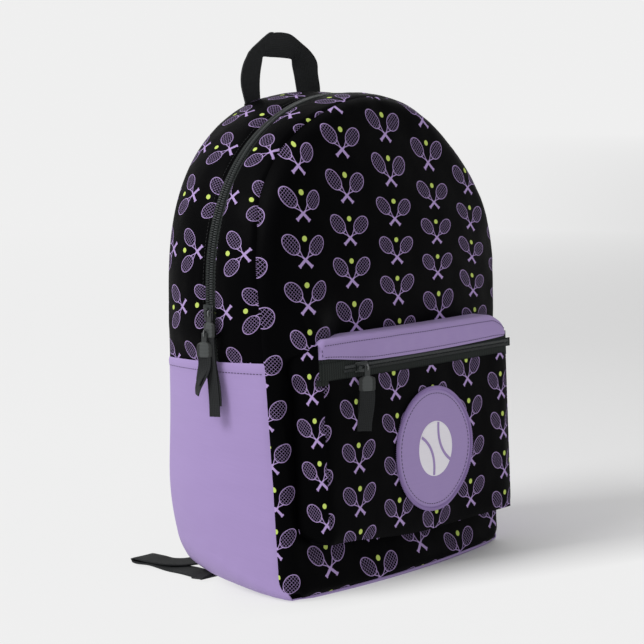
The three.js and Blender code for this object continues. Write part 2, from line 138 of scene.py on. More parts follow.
def turned_back(z):
    """How far behind the front face its seam lies: the panel rolls round the edge before it."""
    heights = [0, 20, 60, 100, 190, 260, 314, 345, 385, 405, 418, 430]
    return np.interp(z, heights, [12, 11, 9, 7, 4.5, 4.5, 6.5, 12, 13, 9, 4, 3])


def back_seam(z):
    return BACK - BACK_TUCK * np.maximum(0, 1 - z / TUCK_HEIGHT) ** 2


def section(t, inset=0.0):
    """The body's outline at depth t, 0 at the front seam and 1 at the back, drawn in by inset."""
    bulge = np.sin(np.pi * np.clip(t, 0, 1))
    return {
        "half": HALF_FRONT + HALF_RISE * t - HALF_FALL * t * t - inset,
        "top": TOP - 3 * t + 4 * bulge - inset,
        "spring": SPRING - 20 * t,
        "power": 2 + 0.7 * t,
        "corner": 5 + 40 * t,
        "inset": inset,
    }


def side_half(s, z):
    return s["half"] - SIDE_TAPER * (np.maximum(0, s["spring"] - z) / s["spring"]) ** 1.5


def arch_top(s, x):
    rise = np.maximum(0, 1 - (x / s["half"]) ** 2) ** (1 / s["power"])
    return s["spring"] + (s["top"] - s["spring"]) * rise


def arch_point(s, a, foot):
    """Outline from the left side at height foot, over the top, to the right side: a is -1 to 1."""
    k, sign, straight = np.abs(a), np.sign(a), 0.2
    z_side = mix(foot, s["spring"], (1 - k) / straight)
    turn = (np.pi / 2) * np.minimum(k / (1 - straight), 1)
    x_arch = s["half"] * np.sin(turn)
    z_arch = s["spring"] + (s["top"] - s["spring"]) * np.maximum(0, np.cos(turn)) ** (2 / s["power"])
    on_side = k > 1 - straight
    x = np.where(on_side, side_half(s, z_side), x_arch)
    return sign * x, np.where(on_side, z_side, z_arch)


def base_point(s, a, waist):
    """Outline from the left side at the waist, under the base, to the right side."""
    k, sign, flat_end, corner_end = np.abs(a), np.sign(a), 0.38, 0.56
    radius = s["corner"] - s["inset"]
    centre = side_half(s, s["corner"]) - radius
    z_side = mix(s["corner"], waist, (k - corner_end) / (1 - corner_end))
    turn = (np.pi / 2) * np.clip((k - flat_end) / (corner_end - flat_end), 0, 1)
    x = np.where(k > corner_end, side_half(s, z_side), centre + radius * np.sin(turn))
    x = np.where(k < flat_end, centre * k / flat_end, x)
    z = np.where(k > corner_end, z_side, s["corner"] - radius * np.cos(turn))
    return sign * x, np.where(k < flat_end, s["inset"], z)


def wall(outline, depth_at, inset=0.0):
    """Points of the side wall: outline gives them at a depth share, depth_at(z) is their depth."""
    t = 0.5
    for _ in range(8):
        x, z = outline(section(t, inset))
        y = depth_at(z)
        t = (y - front_seam(z)) / (back_seam(z) - front_seam(z))
    return np.stack(np.broadcast_arrays(x, y, z), -1)


def panel_inside(x, z, s=section(0)):
    """1 in the middle of an arched panel, 0 on its edge; the front panel unless told otherwise."""
    rise = (np.maximum(0, z - s["spring"]) / (s["top"] - s["spring"])) ** s["power"]
    return np.maximum(0, 1 - (x / side_half(s, z)) ** 2 - rise)


def crown(x, z):
    swell = CROWN * np.exp(-(((z - CROWN_HEIGHT) / CROWN_SPREAD) ** 2))
    return swell * panel_inside(x, z) ** 0.55


def corner_rise(s, x):
    centre = side_half(s, s["corner"]) - s["corner"]
    past = np.clip(np.abs(x) - centre, 0, s["corner"] * 0.98)
    return s["corner"] - np.sqrt(s["corner"] ** 2 - past ** 2)


def in_outline(s, u, v, low_at):
    """x and z of a point inside the arched outline, and its lower edge, which is low_at(x)."""
    wide = np.sin(np.pi / 2 * (2 * u - 1))
    low, high = low_at(s["half"] * wide), arch_top(s, s["half"] * wide)
    z = low + (high - low) * v
    return wide * side_half(s, z), z, low


def back_swell(z):
    """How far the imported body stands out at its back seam, most of all low down."""
    return 3.0 + 5.5 * np.exp(-(((z - 75) / 65) ** 2))


def waist_height(y):
    return 206.0 - 5.5 * np.clip((y + 56) / 129, 0, 1)


def base_bulge(x, z):
    """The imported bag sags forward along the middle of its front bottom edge."""
    return 13 * np.clip(1 - (x / 150) ** 2, 0, 1) * np.exp(-((z / 34) ** 2))


def pocket_face(z):
    return POCKET_FRONT + POCKET_LEAN * z


# ------------------------------------------------------------------ meshes

def normals_of(surface, u, v):
    """Outward unit normals of a surface at u, v in 0 to 1."""
    step = 0.002
    u0, v0 = np.clip(u, step, 1 - step), np.clip(v, step, 1 - step)
    du = surface(u0 + step, v0) - surface(u0 - step, v0)
    dv = surface(u0, v0 + step) - surface(u0, v0 - step)
    normal = unit(np.cross(du, dv))
    middle = surface(np.array([0.47]), np.array([0.53]))
    at_middle = np.cross(
        surface(np.array([0.475]), np.array([0.53])) - middle,
        surface(np.array([0.47]), np.array([0.535])) - middle,
    )
    return normal if ((middle - CORE) * at_middle).sum() > 0 else -normal


def raised(base, height):
    """The surface moved out along its normals by height(u, v, points)."""
    def surface(u, v):
        points = base(u, v)
        return points + normals_of(base, u, v) * height(u, v, points)[..., None]
    return surface


def build(name, points, faces, looks, uv=None, face_looks=None):
    mesh = bpy.data.meshes.new(name)
    mesh.from_pydata((np.asarray(points, float) * MM).tolist(), [], faces)
    mesh.polygons.foreach_set("use_smooth", [True] * len(mesh.polygons))
    if uv is not None:
        corner = np.zeros(len(mesh.loops), np.int32)
        mesh.loops.foreach_get("vertex_index", corner)
        layer = mesh.uv_layers.new(name="cloth")
        layer.data.foreach_set("uv", (np.asarray(uv)[corner] * MM).astype(np.float32).ravel())
    for look in looks:
        mesh.materials.append(look)
    if face_looks is not None:
        mesh.polygons.foreach_set("material_index", np.asarray(face_looks, np.int32))
    mesh.update()
    mesh.set_sharp_from_angle(angle=math.radians(45))
    obj = bpy.data.objects.new(name, mesh)
    bpy.context.scene.collection.objects.link(obj)
    return obj


def grid_faces(rows, columns, start=0, close=False):
    r, c = np.meshgrid(np.arange(rows - 1), np.arange(columns if close else columns - 1), indexing="ij")
    across = (c + 1) % columns
    a = start + r * columns + c
    b = start + r * columns + across
    return np.stack([a, b, b + columns, a + columns], -1).reshape(-1, 4)


def shell(name, surface, columns, rows, thick, looks, uv, into=None):
    """A closed sheet: the surface, its inner side thick below it, and the rim between them."""
    u, v = np.meshgrid(np.linspace(0, 1, columns), np.linspace(0, 1, rows), indexing="ij")
    outer = surface(u, v)
    inward = -normals_of(surface, u, v) if into is None else np.broadcast_to(into, outer.shape)
    inner = outer + inward * thick
    flat_uv = np.stack(np.broadcast_arrays(*uv(u, v, outer)), -1).reshape(-1, 2)
    total = columns * rows
    top = grid_faces(columns, rows)
    i = np.arange(columns - 1)
    j = np.arange(rows - 1)
    edges = [
        np.stack([i * rows, (i + 1) * rows], -1),
        np.stack([(i + 1) * rows + rows - 1, i * rows + rows - 1], -1),
        np.stack([j + 1, j], -1),
        np.stack([(columns - 1) * rows + j, (columns - 1) * rows + j + 1], -1),
    ]
    rim = [np.stack([e[:, 1], e[:, 0], e[:, 0] + total, e[:, 1] + total], -1) for e in edges]
    rim = np.concatenate(rim)
    normal = np.cross(outer[1:, :-1] - outer[:-1, :-1], outer[:-1, 1:] - outer[:-1, :-1])
    faces_out = (normal * -inward[:-1, :-1]).sum() > 0
    # grid_faces lists corners v first, so its faces look against the u x v normal
    if faces_out:
        faces = [top[:, ::-1], top + total, rim]
    else:
        faces = [top, top[:, ::-1] + total, rim[:, ::-1]]
    kinds = [0] * len(top) + [len(looks) - 1] * len(top) + [0] * len(rim)
    points = np.concatenate([outer.reshape(-1, 3), inner.reshape(-1, 3)])
    faces = np.concatenate(faces).tolist()
    return build(name, points, faces, looks, np.concatenate([flat_uv, flat_uv]), kinds)


def sweep(name, path, wide, outline, looks, rise=None, closed=False):
    """A closed 2-D outline (across, up) carried along a path. wide is its width direction, one for
    all or one for each point. rise(k) scales the outline along the path; k goes from 0 to 1."""
    tangent = unit(np.gradient(path, axis=0))
    if closed:
        tangent = unit(np.roll(path, -1, 0) - np.roll(path, 1, 0))
    wide = np.asarray(wide, float)
    wide = unit(wide - (wide * tangent).sum(-1, keepdims=True) * tangent)
    up = np.cross(wide, tangent)
    n, m = len(path), len(outline)
    k = np.linspace(0, 1, n)
    scale = np.ones((n, 2)) if rise is None else np.array([rise(x) for x in k])
    across = outline[None, :, 0] * scale[:, :1]
    above = outline[None, :, 1] * scale[:, 1:]
    points = path[:, None] + wide[:, None] * across[..., None] + up[:, None] * above[..., None]
    s = run_of(path)
    uv = np.stack(np.broadcast_arrays(s[:, None], across), -1).reshape(-1, 2)
    faces = grid_faces(n, m, close=True)
    if closed:
        last = (n - 1) * m + np.arange(m)
        first = np.arange(m)
        ring = np.stack([last, np.roll(last, -1), np.roll(first, -1), first], -1)
        faces = np.concatenate([faces, ring]).tolist()
    else:
        faces = faces.tolist() + [list(range(m))[::-1], [(n - 1) * m + i for i in range(m)]]
    return build(name, points.reshape(-1, 3), faces, looks, uv)


def rounded(width, thick, corner=0.45, steps=5):
    """Outline of a flat bar with round edges, as (across, up) points."""
    r = min(thick * corner, width / 2)
    half_x, half_y = width / 2 - r, thick / 2 - r
    points = []
    for cx, cy, start in ((1, -1, -90), (1, 1, 0), (-1, 1, 90), (-1, -1, 180)):
        for i in range(steps + 1):
            a = math.radians(start + 90 * i / steps)
            points.append((cx * half_x + r * math.cos(a), cy * half_y + r * math.sin(a)))
    flat = [(x, -thick / 2) for x in np.linspace(-half_x, half_x, 7)[1:-1]]
    top = [(-x, thick / 2) for x, _ in flat]
    half = len(points) // 2
    return np.array(flat + points[:half] + top + points[half:])


def joined(name, parts):
    """One object made of several, which it takes the place of."""
    bpy.ops.object.select_all(action="DESELECT")
    for part in parts:
        part.select_set(True)
    bpy.context.view_layer.objects.active = parts[0]
    if len(parts) > 1:
        bpy.ops.object.join()
    parts[0].name = name
    parts[0].data.name = name
    return parts[0]


HEXAGON = np.array([(math.cos(a), math.sin(a)) for a in np.linspace(0, 2 * math.pi, 7)[:-1]])


def hexagons(spine, across, up, girth):
    """A six-sided ring round each point of spine, in the plane of across and up."""
    across, up = (np.broadcast_to(way, spine.shape)[:, None] for way in (across, up))
    return spine[:, None] + (across * HEXAGON[None, :, :1] + up * HEXAGON[None, :, 1:]) * girth


def beads(name, rings, look):
    """One object of many small closed beads, each skinned over its own point's four rings."""
    points = np.stack(rings, 1).reshape(-1, 3)
    faces = []
    for start in range(0, len(points), 24):
        faces += grid_faces(4, 6, start, close=True).tolist()
        faces += [[start + k for k in range(5, -1, -1)], [start + 18 + k for k in range(6)]]
    return build(name, points, faces, [look])


def stitches(name, path, normal, look, pitch=3.2, length=2.3, width=0.62, lift=0.15):
    """A row of sewn thread: a small arched lozenge for each stitch, lying on the path."""
    count = max(2, int(path_length(path) / pitch))
    both = resample(np.hstack([path, np.broadcast_to(normal, path.shape)]), count * 6 + 1)
    centre, up = both[3::6, :3], unit(both[3::6, 3:])
    along = unit(both[4::6, :3] - both[2::6, :3][: len(both[4::6])])[: len(centre)]
    side = np.cross(up, along)
    rings = []
    for share, girth, rise in ((-0.5, 0.25, -0.45), (-0.28, 0.9, 0.1),
                               (0.28, 0.9, 0.1), (0.5, 0.25, -0.45)):
        spine = centre + along * share * length + up * (lift + rise * width * 0.5)
        rings.append(hexagons(spine, side, up, girth * width / 2))
    return beads(name, rings, look)


def sewn_line(name, surface, u, v, look, **sizes):
    """Stitches along a line of a surface, given as arrays u and v."""
    return stitches(name, surface(u, v), normals_of(surface, u, v), look, **sizes)


# ------------------------------------------------------------------ materials

class Field:
    """A shader number that arithmetic can be written on."""

    def __init__(self, tree, socket):
        self.tree, self.socket = tree, socket

    def do(self, operation, *others):
        node = self.tree.nodes.new("ShaderNodeMath")
        node.operation = operation
        for slot, value in zip(node.inputs, (self, *others)):
            if isinstance(value, Field):
                self.tree.links.new(value.socket, slot)
            else:
                slot.default_value = value
        return Field(self.tree, node.outputs[0])

    def __add__(self, other):
        return self.do("ADD", other)

    def __sub__(self, other):
        return self.do("SUBTRACT", other)

    def __mul__(self, other):
        return self.do("MULTIPLY", other)

    def __truediv__(self, other):
        return self.do("DIVIDE", other)

    def size(self):
        return self.do("ABSOLUTE")

    def least(self, other):
        return self.do("MINIMUM", other)

    def most(self, other):
        return self.do("MAXIMUM", other)

    def share(self):
        """Held between 0 and 1."""
        return self.most(0.0).least(1.0)

    def inked(self, soft=0.22):
        """1 where this distance is below zero, 0 above, with a narrow soft edge."""
        return (self * (-1 / soft) + 0.5).share()


def new_material(name, roughness, specular=0.5, metallic=0.0):
    material = bpy.data.materials.new(name)
    material.use_nodes = True
    shader = material.node_tree.nodes["Principled BSDF"]
    shader.inputs["Roughness"].default_value = roughness
    shader.inputs["Specular IOR Level"].default_value = specular
    shader.inputs["Metallic"].default_value = metallic
    return material, material.node_tree, shader


def split_xy(tree, socket):
    split = tree.nodes.new("ShaderNodeSeparateXYZ")
    tree.links.new(socket, split.inputs[0])
    return Field(tree, split.outputs[0]), Field(tree, split.outputs[1])


def paint(tree, shader, colour):
    tree.links.new(colour, shader.inputs["Base Color"])


def cloth_uv(tree):
    """The metric cloth coordinates of the piece, in millimetres."""
    node = tree.nodes.new("ShaderNodeUVMap")
    node.uv_map = "cloth"
    u, v = split_xy(tree, node.outputs["UV"])
    return u * 1000.0, v * 1000.0


def place_mm(tree):
    """Object coordinates in millimetres, for grain that needs no UV."""
    node = tree.nodes.new("ShaderNodeTexCoord")
    scale = tree.nodes.new("ShaderNodeVectorMath")
    scale.operation = "SCALE"
    scale.inputs["Scale"].default_value = 1000.0
    tree.links.new(node.outputs["Object"], scale.inputs[0])
    return scale.outputs[0]


def noise(tree, vector, scale, detail=2.0):
    node = tree.nodes.new("ShaderNodeTexNoise")
    node.inputs["Scale"].default_value = scale
    node.inputs["Detail"].default_value = detail
    tree.links.new(vector, node.inputs["Vector"])
    return Field(tree, node.outputs["Fac"])


def cells(tree, vector, scale, randomness=1.0):
    """Distance from the nearest of many scattered points."""
    node = tree.nodes.new("ShaderNodeTexVoronoi")
    node.inputs["Scale"].default_value = scale
    node.inputs["Randomness"].default_value = randomness
    tree.links.new(vector, node.inputs["Vector"])
    return Field(tree, node.outputs["Distance"])


def stretched(tree, vector, factors):
    node = tree.nodes.new("ShaderNodeVectorMath")
    node.operation = "MULTIPLY"
    node.inputs[1].default_value = factors
    tree.links.new(vector, node.inputs[0])
    return node.outputs[0]


def combine(tree, x, y):
    node = tree.nodes.new("ShaderNodeCombineXYZ")
    tree.links.new(x.socket, node.inputs[0])
    tree.links.new(y.socket, node.inputs[1])
    return node.outputs[0]


def bump(tree, shader, height, depth_mm, strength=1.0):
    node = tree.nodes.new("ShaderNodeBump")
    node.inputs["Distance"].default_value = depth_mm * MM
    node.inputs["Strength"].default_value = strength
    tree.links.new(height.socket, node.inputs["Height"])
    tree.links.new(node.outputs[0], shader.inputs["Normal"])


def tint(tree, factor, low, high):
    """A colour between two, by a factor from 0 to 1. Either end may be another colour socket."""
    node = tree.nodes.new("ShaderNodeMix")
    node.data_type = "RGBA"
    tree.links.new(factor.socket, node.inputs[0])
    for slot, colour in ((node.inputs[6], low), (node.inputs[7], high)):
        if isinstance(colour, tuple):
            slot.default_value = (*colour, 1)
        else:
            tree.links.new(colour, slot)
    return node.outputs[2]


def srgb(r, g, b):
    """Linear colour of an 8-bit display colour."""
    levels = (r / 255, g / 255, b / 255)
    return tuple(c / 12.92 if c < 0.0405 else ((c + 0.055) / 1.055) ** 2.4 for c in levels)


PRINT_COLUMN, PRINT_ROW, PRINT_LIFT = 54.0, 37.8, 11.0
BLACK, LILAC = srgb(3, 3, 4), srgb(170, 146, 196)


def ladder(x, pitch=2.5):
    """Distance from the nearest of a set of parallel strings."""
    return (((x / pitch).do("FRACT") - 0.5).size() * pitch) - 0.11


def racket_mask(x, y):
    """Crossed rackets, mirrored about x = 0: x is the distance from the middle, y the height."""
    tilt = math.radians(47)
    sin, cos = math.sin(tilt), math.cos(tilt)
    hx, hy = x - 14.0, y + 5.5
    along, across = hx * sin + hy * cos, hx * cos - hy * sin
    long, wide = along / 10.2, across / 7.2
    from_ring = ((long * long + wide * wide).do("SQRT") - 1.0) * 8.4
    edge = from_ring.size() - 0.32
    strings = ladder(along).least(ladder(across)).most(from_ring)
    wings = (across.size() - (along + 16.0) * 0.4).size() - 0.42
    throat = wings.most(along + 8.6).most(along * -1.0 - 16.2)
    shaft = (across.size() - 0.85).most(along + 15.5).most(along * -1.0 - 20.0)
    gx, gy = x, y + 18.5
    reach, off = gx * sin - gy * cos, (gx * cos + gy * sin).size()
    grip = (off - 1.35).most(reach - 9.3).most(reach * -1.0 - 1.0)
    butt = (off - 1.8).most((reach - 8.8).size() - 0.7)
    solid = edge.least(throat).least(shaft).least(grip).least(butt).inked()
    return solid.most(strings.inked() * 0.85)


def print_colour(tree, u, v):
    """Crossed rackets and a ball in a half-drop repeat, lilac and lime on black."""
    column = (u / PRINT_COLUMN).do("ROUND")
    du = (u - column * PRINT_COLUMN).size()
    odd = column.do("MODULO", 2.0).size()
    lifted = v - odd * (PRINT_ROW / 2) + PRINT_LIFT
    dv = lifted - (lifted / PRINT_ROW).do("ROUND") * PRINT_ROW - PRINT_LIFT
    ball = ((du * du + dv * dv).do("SQRT") - 2.35).inked()
    patterned = tint(tree, racket_mask(du * 1.10, dv * 1.08), BLACK, LILAC)
    return tint(tree, ball, patterned, srgb(186, 206, 104))


def weave(u, v, pitch):
    k = 2 * math.pi / pitch
    return (u * k).do("SINE") * (v * k).do("SINE") * 0.5 + 0.5


def printed_cloth():
    material, tree, shader = new_material("print_satin", 0.5, 0.02)
    u, v = cloth_uv(tree)
    paint(tree, shader, print_colour(tree, u, v))
    cloud = noise(tree, combine(tree, u, v), 0.045)
    bump(tree, shader, weave(u, v, 0.9) * 0.35 + cloud * 4.0, 0.12, 0.8)
    tree.links.new((cloud * 0.2 + 0.38).socket, shader.inputs["Roughness"])
    return material


def plain_cloth(name="plain_satin", colour=(161, 140, 190), shade=(152, 131, 181)):
    material, tree, shader = new_material(name, 0.62, 0.22)
    u, v = cloth_uv(tree)
    slub = noise(tree, stretched(tree, combine(tree, u, v), (0.03, 0.9, 1)), 1.0, 4.0)
    cloud = noise(tree, combine(tree, u, v), 0.02)
    paint(tree, shader, tint(tree, slub * 0.6 + cloud * 0.4, srgb(*shade), srgb(*colour)))
    bump(tree, shader, weave(u, v, 0.8) * 0.5 + slub * 0.7, 0.1, 0.7)
    shader.inputs["Sheen Weight"].default_value = 0.08
    return material


def webbing_material(name="webbing_black", colour=(34, 36, 37), dark=(15, 16, 17)):
    material, tree, shader = new_material(name, 0.78, 0.25)
    u, v = cloth_uv(tree)
    rib = (v * (math.pi / 1.7)).do("SINE").size()
    thread = (u * (2 * math.pi / 1.5) + rib * 1.6).do("SINE") * 0.5 + 0.5
    height = rib * 0.7 + thread * 0.5
    tone_and_highlight = noise(tree, combine(tree, u, v), 0.12)
    # painted shade: the grooves between ribs, low in height, are tinted darker; the noise adds random
    # tone
    paint(tree, shader, tint(tree, (height * 0.7 + tone_and_highlight * 0.35).least(1.0), srgb(*dark), srgb(*colour)))
    bump(tree, shader, height, 0.28, 0.9)
    return material


def tape_material():
    material, tree, shader = new_material("zip_tape_weave", 0.8, 0.2)
    u, v = cloth_uv(tree)
    herring = (u * 2.2 + (v * 1.4).do("PINGPONG", 1.0) * 2.4).do("SINE") * 0.5 + 0.5
    # painted shade: the herringbone's low lines, the grooves of the weave, are tinted darker
    paint(tree, shader, tint(tree, herring, srgb(18, 21, 20), srgb(38, 43, 41)))
    bump(tree, shader, herring, 0.16, 0.9)
    return material


def moulded(name, colour, roughness, specular=0.4, metallic=0.0, tone_and_highlight=(88, 92, 92)):
    """Moulded plastic or painted metal: fine grain, and a painted highlight that tints sharp edges
    paler.
    """
    material, tree, shader = new_material(name, roughness, specular, metallic)
    place = place_mm(tree)
    fine = noise(tree, place, 1.6, 3.0)
    cloud = noise(tree, place, 0.12)
    geometry = tree.nodes.new("ShaderNodeNewGeometry")
    # painted highlight: sharp convex edges, found by pointiness, are tinted towards the paler colour
    edge_highlight = ((Field(tree, geometry.outputs["Pointiness"]) - 0.53) * 9.0).most(0.0).least(0.45)
    base = tint(tree, cloud, tuple(c * 0.85 for c in srgb(*colour)), srgb(*colour))
    paint(tree, shader, tint(tree, edge_highlight, base, srgb(*tone_and_highlight)))
    tree.links.new((fine * 0.18 + (roughness - 0.09)).socket, shader.inputs["Roughness"])
    bump(tree, shader, fine, 0.045, 0.6)
    return material


def lining_material():
    material, tree, shader = new_material("lining_nylon", 0.6, 0.2)
    place = place_mm(tree)
    paint(tree, shader, tint(tree, noise(tree, place, 0.04), srgb(34, 34, 38), srgb(46, 46, 51)))
    bump(tree, shader, cells(tree, place, 0.5), 0.1, 0.5)
    return material


def mesh_material():
    """Air mesh over foam: small round holes in a black knit, with painted shade darkening the holes."""
    material, tree, shader = new_material("air_mesh", 0.9, 0.12)
    net = ((cells(tree, place_mm(tree), 0.42, 0.25) - 0.22) * 3.0).share()
    # painted shade: the sunken holes are tinted darker than the knit
    paint(tree, shader, tint(tree, net, srgb(12, 12, 14), srgb(36, 37, 41)))
    bump(tree, shader, net, 0.5, 0.9)
    shader.inputs["Sheen Weight"].default_value = 0.1
    return material


def thread_material(name, colour):
    material, tree, shader = new_material(name, 0.55, 0.3)
    twist = noise(tree, place_mm(tree), 3.0)
    dark = tuple(c * 0.7 for c in srgb(*colour))
    paint(tree, shader, tint(tree, twist, dark, srgb(*colour)))
    bump(tree, shader, twist, 0.1, 0.5)
    return material


PRINT = printed_cloth()
PLAIN = plain_cloth()
PATCH_CLOTH = plain_cloth("patch_twill", (160, 139, 189), (151, 130, 180))
EMBLEM = plain_cloth("emblem_white", (238, 235, 241), (224, 220, 229))
WEBBING = webbing_material()
TAPE = tape_material()
# the paler last colour of each moulded part is its painted edge highlight
COIL = moulded("coil_nylon", (38, 42, 42), 0.38, tone_and_highlight=(66, 70, 70))
PLASTIC = moulded("moulded_black", (30, 33, 32), 0.45)
METAL = moulded("painted_metal", (52, 56, 56), 0.36, 0.5, metallic=0.6, tone_and_highlight=(150, 152, 152))
LINING = lining_material()
MESH = mesh_material()
BLACK_CLOTH = webbing_material("binding_black", (34, 35, 37), (17, 17, 19))
BOARD = moulded("base_board", (70, 70, 74), 0.7)
DARK_THREAD = thread_material("thread_dark", (48, 36, 62))
BLACK_THREAD = thread_material("thread_black", (26, 27, 29))
LILAC_THREAD = thread_material("thread_lilac", (158, 134, 190))


# ------------------------------------------------------------------ riding helpers

def keep(obj, body, slot, *nodes):
    """obj rides a body and stands for CAD nodes; slot is not used."""
    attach(obj, body)
    return stands(obj, slot, *nodes)


def bend(obj, body, slot, *nodes, start=BLEND_START, end=BLEND_END):
    """obj has its transform baked and stands for CAD nodes; body, start and end are not used."""
    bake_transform(obj)
    return stands(obj, slot, *nodes)


def stands(obj, slot, *nodes):
    if nodes:
        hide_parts(*nodes)
        obj.name = obj.data.name = nodes[0] + "_model"
    return obj


# ------------------------------------------------------------------ front panel

EDGE_SCALE = 82.0  # panel_inside times this is about the distance from the edge


def front_base(u, v):
    s = section(0)
    x, z, low = in_outline(s, u, v, lambda at: 1.6 + corner_rise(s, at))
    inside = panel_inside(x, z)
    edge = ease(np.minimum(inside * EDGE_SCALE, (z - low) * 0.8) / 7)
    creases = ripple(x, z * 0.8, 11, 85) * 1.5 + ripple(x * 1.6, z, 12, 34) * 0.45
    pucker = ripple(x, z, 13, 13) * np.exp(-inside * 9) * 0.5
    under = 4 * (1 - np.sqrt(1 - np.clip(1 - (z - low) / 7, 0, 1) ** 2))
    turned = np.maximum(roll(x, z), under)
    y = front_seam(z) - crown(x, z) - edge * (1.6 + creases) - pucker + turned - shoulder(x, z)
    y = y - base_bulge(x, z)
    return np.stack([x * roll_spread(z), y, z], -1)


def roll_spread(z):
    """How much wider the panel is than its seam, where it rolls round the edge."""
    return 1 + 0.0018 * turned_back(z)


def roll(x, z):
    """How far the panel turns back towards its seam near the edge."""
    back = turned_back(z)
    from_edge = panel_inside(x, z) * EDGE_SCALE
    return back * (1 - np.sqrt(1 - np.clip(1 - from_edge / (1.2 * back + 2), 0, 1) ** 2))


def shoulder(x, z):
    """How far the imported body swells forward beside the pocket's left end, up to its lid."""
    across = ease((x + 160) / 20) * (1 - ease((x + 128) / 45))
    return 19.0 * across * ease((z - 204) / 14) * (1 - ease((z - 226) / 44))


def front_uv(u, v, p):
    """The panel's print: columns lean and rows slant a little towards the top."""
    x, z = p[..., 0] / roll_spread(p[..., 2]), p[..., 2]
    round_edge = 1.1 * np.sign(x) * roll(x, z)
    beside = 7 * ease((-x - 85) / 30) * ease((z - 40) / 40)
    x, z = drawn_out(x, shoulder(x, z), z)
    return panel_print(x + round_edge - beside, z)


def drawn_out(x, forward, z):
    """Where the panel's flat print lies on cloth that stands forward of it."""
    return x + 1.168 * forward, z - 0.18 * forward


def panel_print(x, z):
    column_pitch, row_pitch = 60.2, 38.6
    lean = 17 * np.clip((230 - z) / 210, 0, 1) + 13 * np.clip((z - 300) / 100, 0, 1)
    low_right = ease((x - 80) / 60) * (1 - ease((z - 290) / 60))
    slant = 0.115 * ease((z - 240) / 130) * (x + 112) - 7 * np.clip((165 - z) / 130, 0, 1)
    slant = slant + 3 * ease((60 - z) / 45) - 2.2 * ease((z - 225) / 40) * (1 - 5 * low_right)
    slant = slant - 2.5 * ease((z - 340) / 50)
    lean = lean - 8 * ease((z - 215) / 60)
    across, up = x - lean + 2.5, z + slant - 229.5
    return across * (PRINT_COLUMN / column_pitch), up * (PRINT_ROW / row_pitch)


def front_panel():
    panel = shell("front_panel", front_base, 92, 120, CLOTH, [PRINT, LINING], front_uv, into=(0, 1, 0))
    bend(panel, "flap", "print_fabric", "front_panel_lower", "front_panel_upper")


# ------------------------------------------------------------------ gussets

def strip(near, far, foot, seed, swell, spread):
    """The arched wall between two depths, softly crowned, dipping into the seams at both edges."""
    def base(u, v):
        return wall(lambda s: arch_point(s, mix(-1, 1, u), foot), lambda z: mix(near(z), far(z), v))

    def height(u, v, p):
        along, y, z = u * 660, p[..., 1], p[..., 2]
        edge = np.minimum(v, 1 - v) * 60
        soft = ripple(along, y, seed, 75) + ripple(along, y * 2, seed + 1, 26) * 0.3
        proud = ease(edge / 5) * (1.6 + soft) + swell * np.sin(np.pi * v)
        return proud * ease((z - 202) / 30) - 0.7 + spread * back_swell(z) * v ** 2
    return raised(base, height)


def gusset_uv(middle):
    """Rows of the print run across the gusset, one every 49.6 mm along it."""
    def uv(u, v, p):
        s = run_of(p[:, p.shape[1] // 2])
        foot = p[0, 0, 2]
        depth = np.concatenate(
            [np.zeros((len(p), 1)), np.cumsum(np.linalg.norm(np.diff(p, axis=1), axis=2), axis=1)], 1)
        columns = (s[:, None] + foot - 298.4) * (PRINT_COLUMN / 49.6)
        slipped = 1.2 * (turned_back(p[:, :1, 2]) - 4.5) if middle < 0 else 0
        return columns + 0 * depth, depth + p[:, :1, 1] - middle - slipped
    return uv


GUSSET_FOOT = 196.0


def front_strip_near(z):
    return front_seam(z) + CLOTH + turned_back(z) - 0.8


def zip_front_edge(z):
    return ZIP_Y - ZIP_OPENING + 0 * z


def zip_back_edge(z):
    return ZIP_Y + ZIP_OPENING + 0 * z


def back_edge(z):
    return back_seam(z) - 1.0


FRONT_STRIP = strip(front_strip_near, zip_front_edge, GUSSET_FOOT, 21, 1.6, 0.0)
REAR_STRIP = strip(zip_back_edge, back_edge, GUSSET_FOOT, 31, 3.0, 1.0)


def gussets():
    front = shell("gusset_front_strip", FRONT_STRIP, 210, 20, CLOTH, [PRINT, LINING], gusset_uv(-15.0))
    bend(front, "flap", "print_fabric", "gusset_front", "gusset_end_left", "gusset_end_right")
    rear = shell("gusset_rear_strip", REAR_STRIP, 210, 22, CLOTH, [PRINT, LINING], gusset_uv(40.0))
    keep(rear, "root", "print_fabric", "gusset_rear")
    u = np.linspace(0.02, 0.98, 500)
    ahead = sewn_line("zip_topstitch_front", FRONT_STRIP, u, 0 * u + 0.955, BLACK_THREAD)
    bend(ahead, "flap", "print_fabric")
    behind = sewn_line("zip_topstitch_rear", REAR_STRIP, u, 0 * u + 0.045, BLACK_THREAD)
    keep(behind, "root", "print_fabric")


# ------------------------------------------------------------------ main zip

def arch_line(y, outset, count, foot):
    """Points and outward normals along the arched wall at one depth, evenly spaced."""
    def line(shift, inset):
        a = np.linspace(-1, 1, 900)
        return wall(lambda s: arch_point(s, a, foot), lambda z: y + shift + 0 * z, inset)
    path = line(0, -outset)
    out = unit(np.cross(np.gradient(path, axis=0), line(1.0, -outset) - path))
    out = out * np.sign((out * (path - CORE)).sum(-1, keepdims=True))
    both = resample(np.hstack([path, out]), count)
    return both[:, :3], unit(both[:, 3:])


TOOTH_PITCH = 2.1


def teeth(name, path, out, reach, offset):
    """Coil turns: a rounded bar across the chain for each pitch, from the tape to the middle."""
    count = int(path_length(path) / TOOTH_PITCH)
    both = resample(np.hstack([path, out]), count * 2 + 1)[offset::2]
    centre, up = both[:, :3], unit(both[:, 3:])
    along = unit(np.gradient(centre, axis=0))
    side = np.array([0.0, 1.0, 0.0])
    rings = []
    for share, girth, lift in ((0.0, 0.5, 0.25), (0.16, 0.7, 0.95), (0.8, 0.7, 1.15), (1.0, 0.5, 0.4)):
        rings.append(hexagons(centre + side * reach * share + up * lift, along, up, girth))
    return beads(name, rings, COIL)


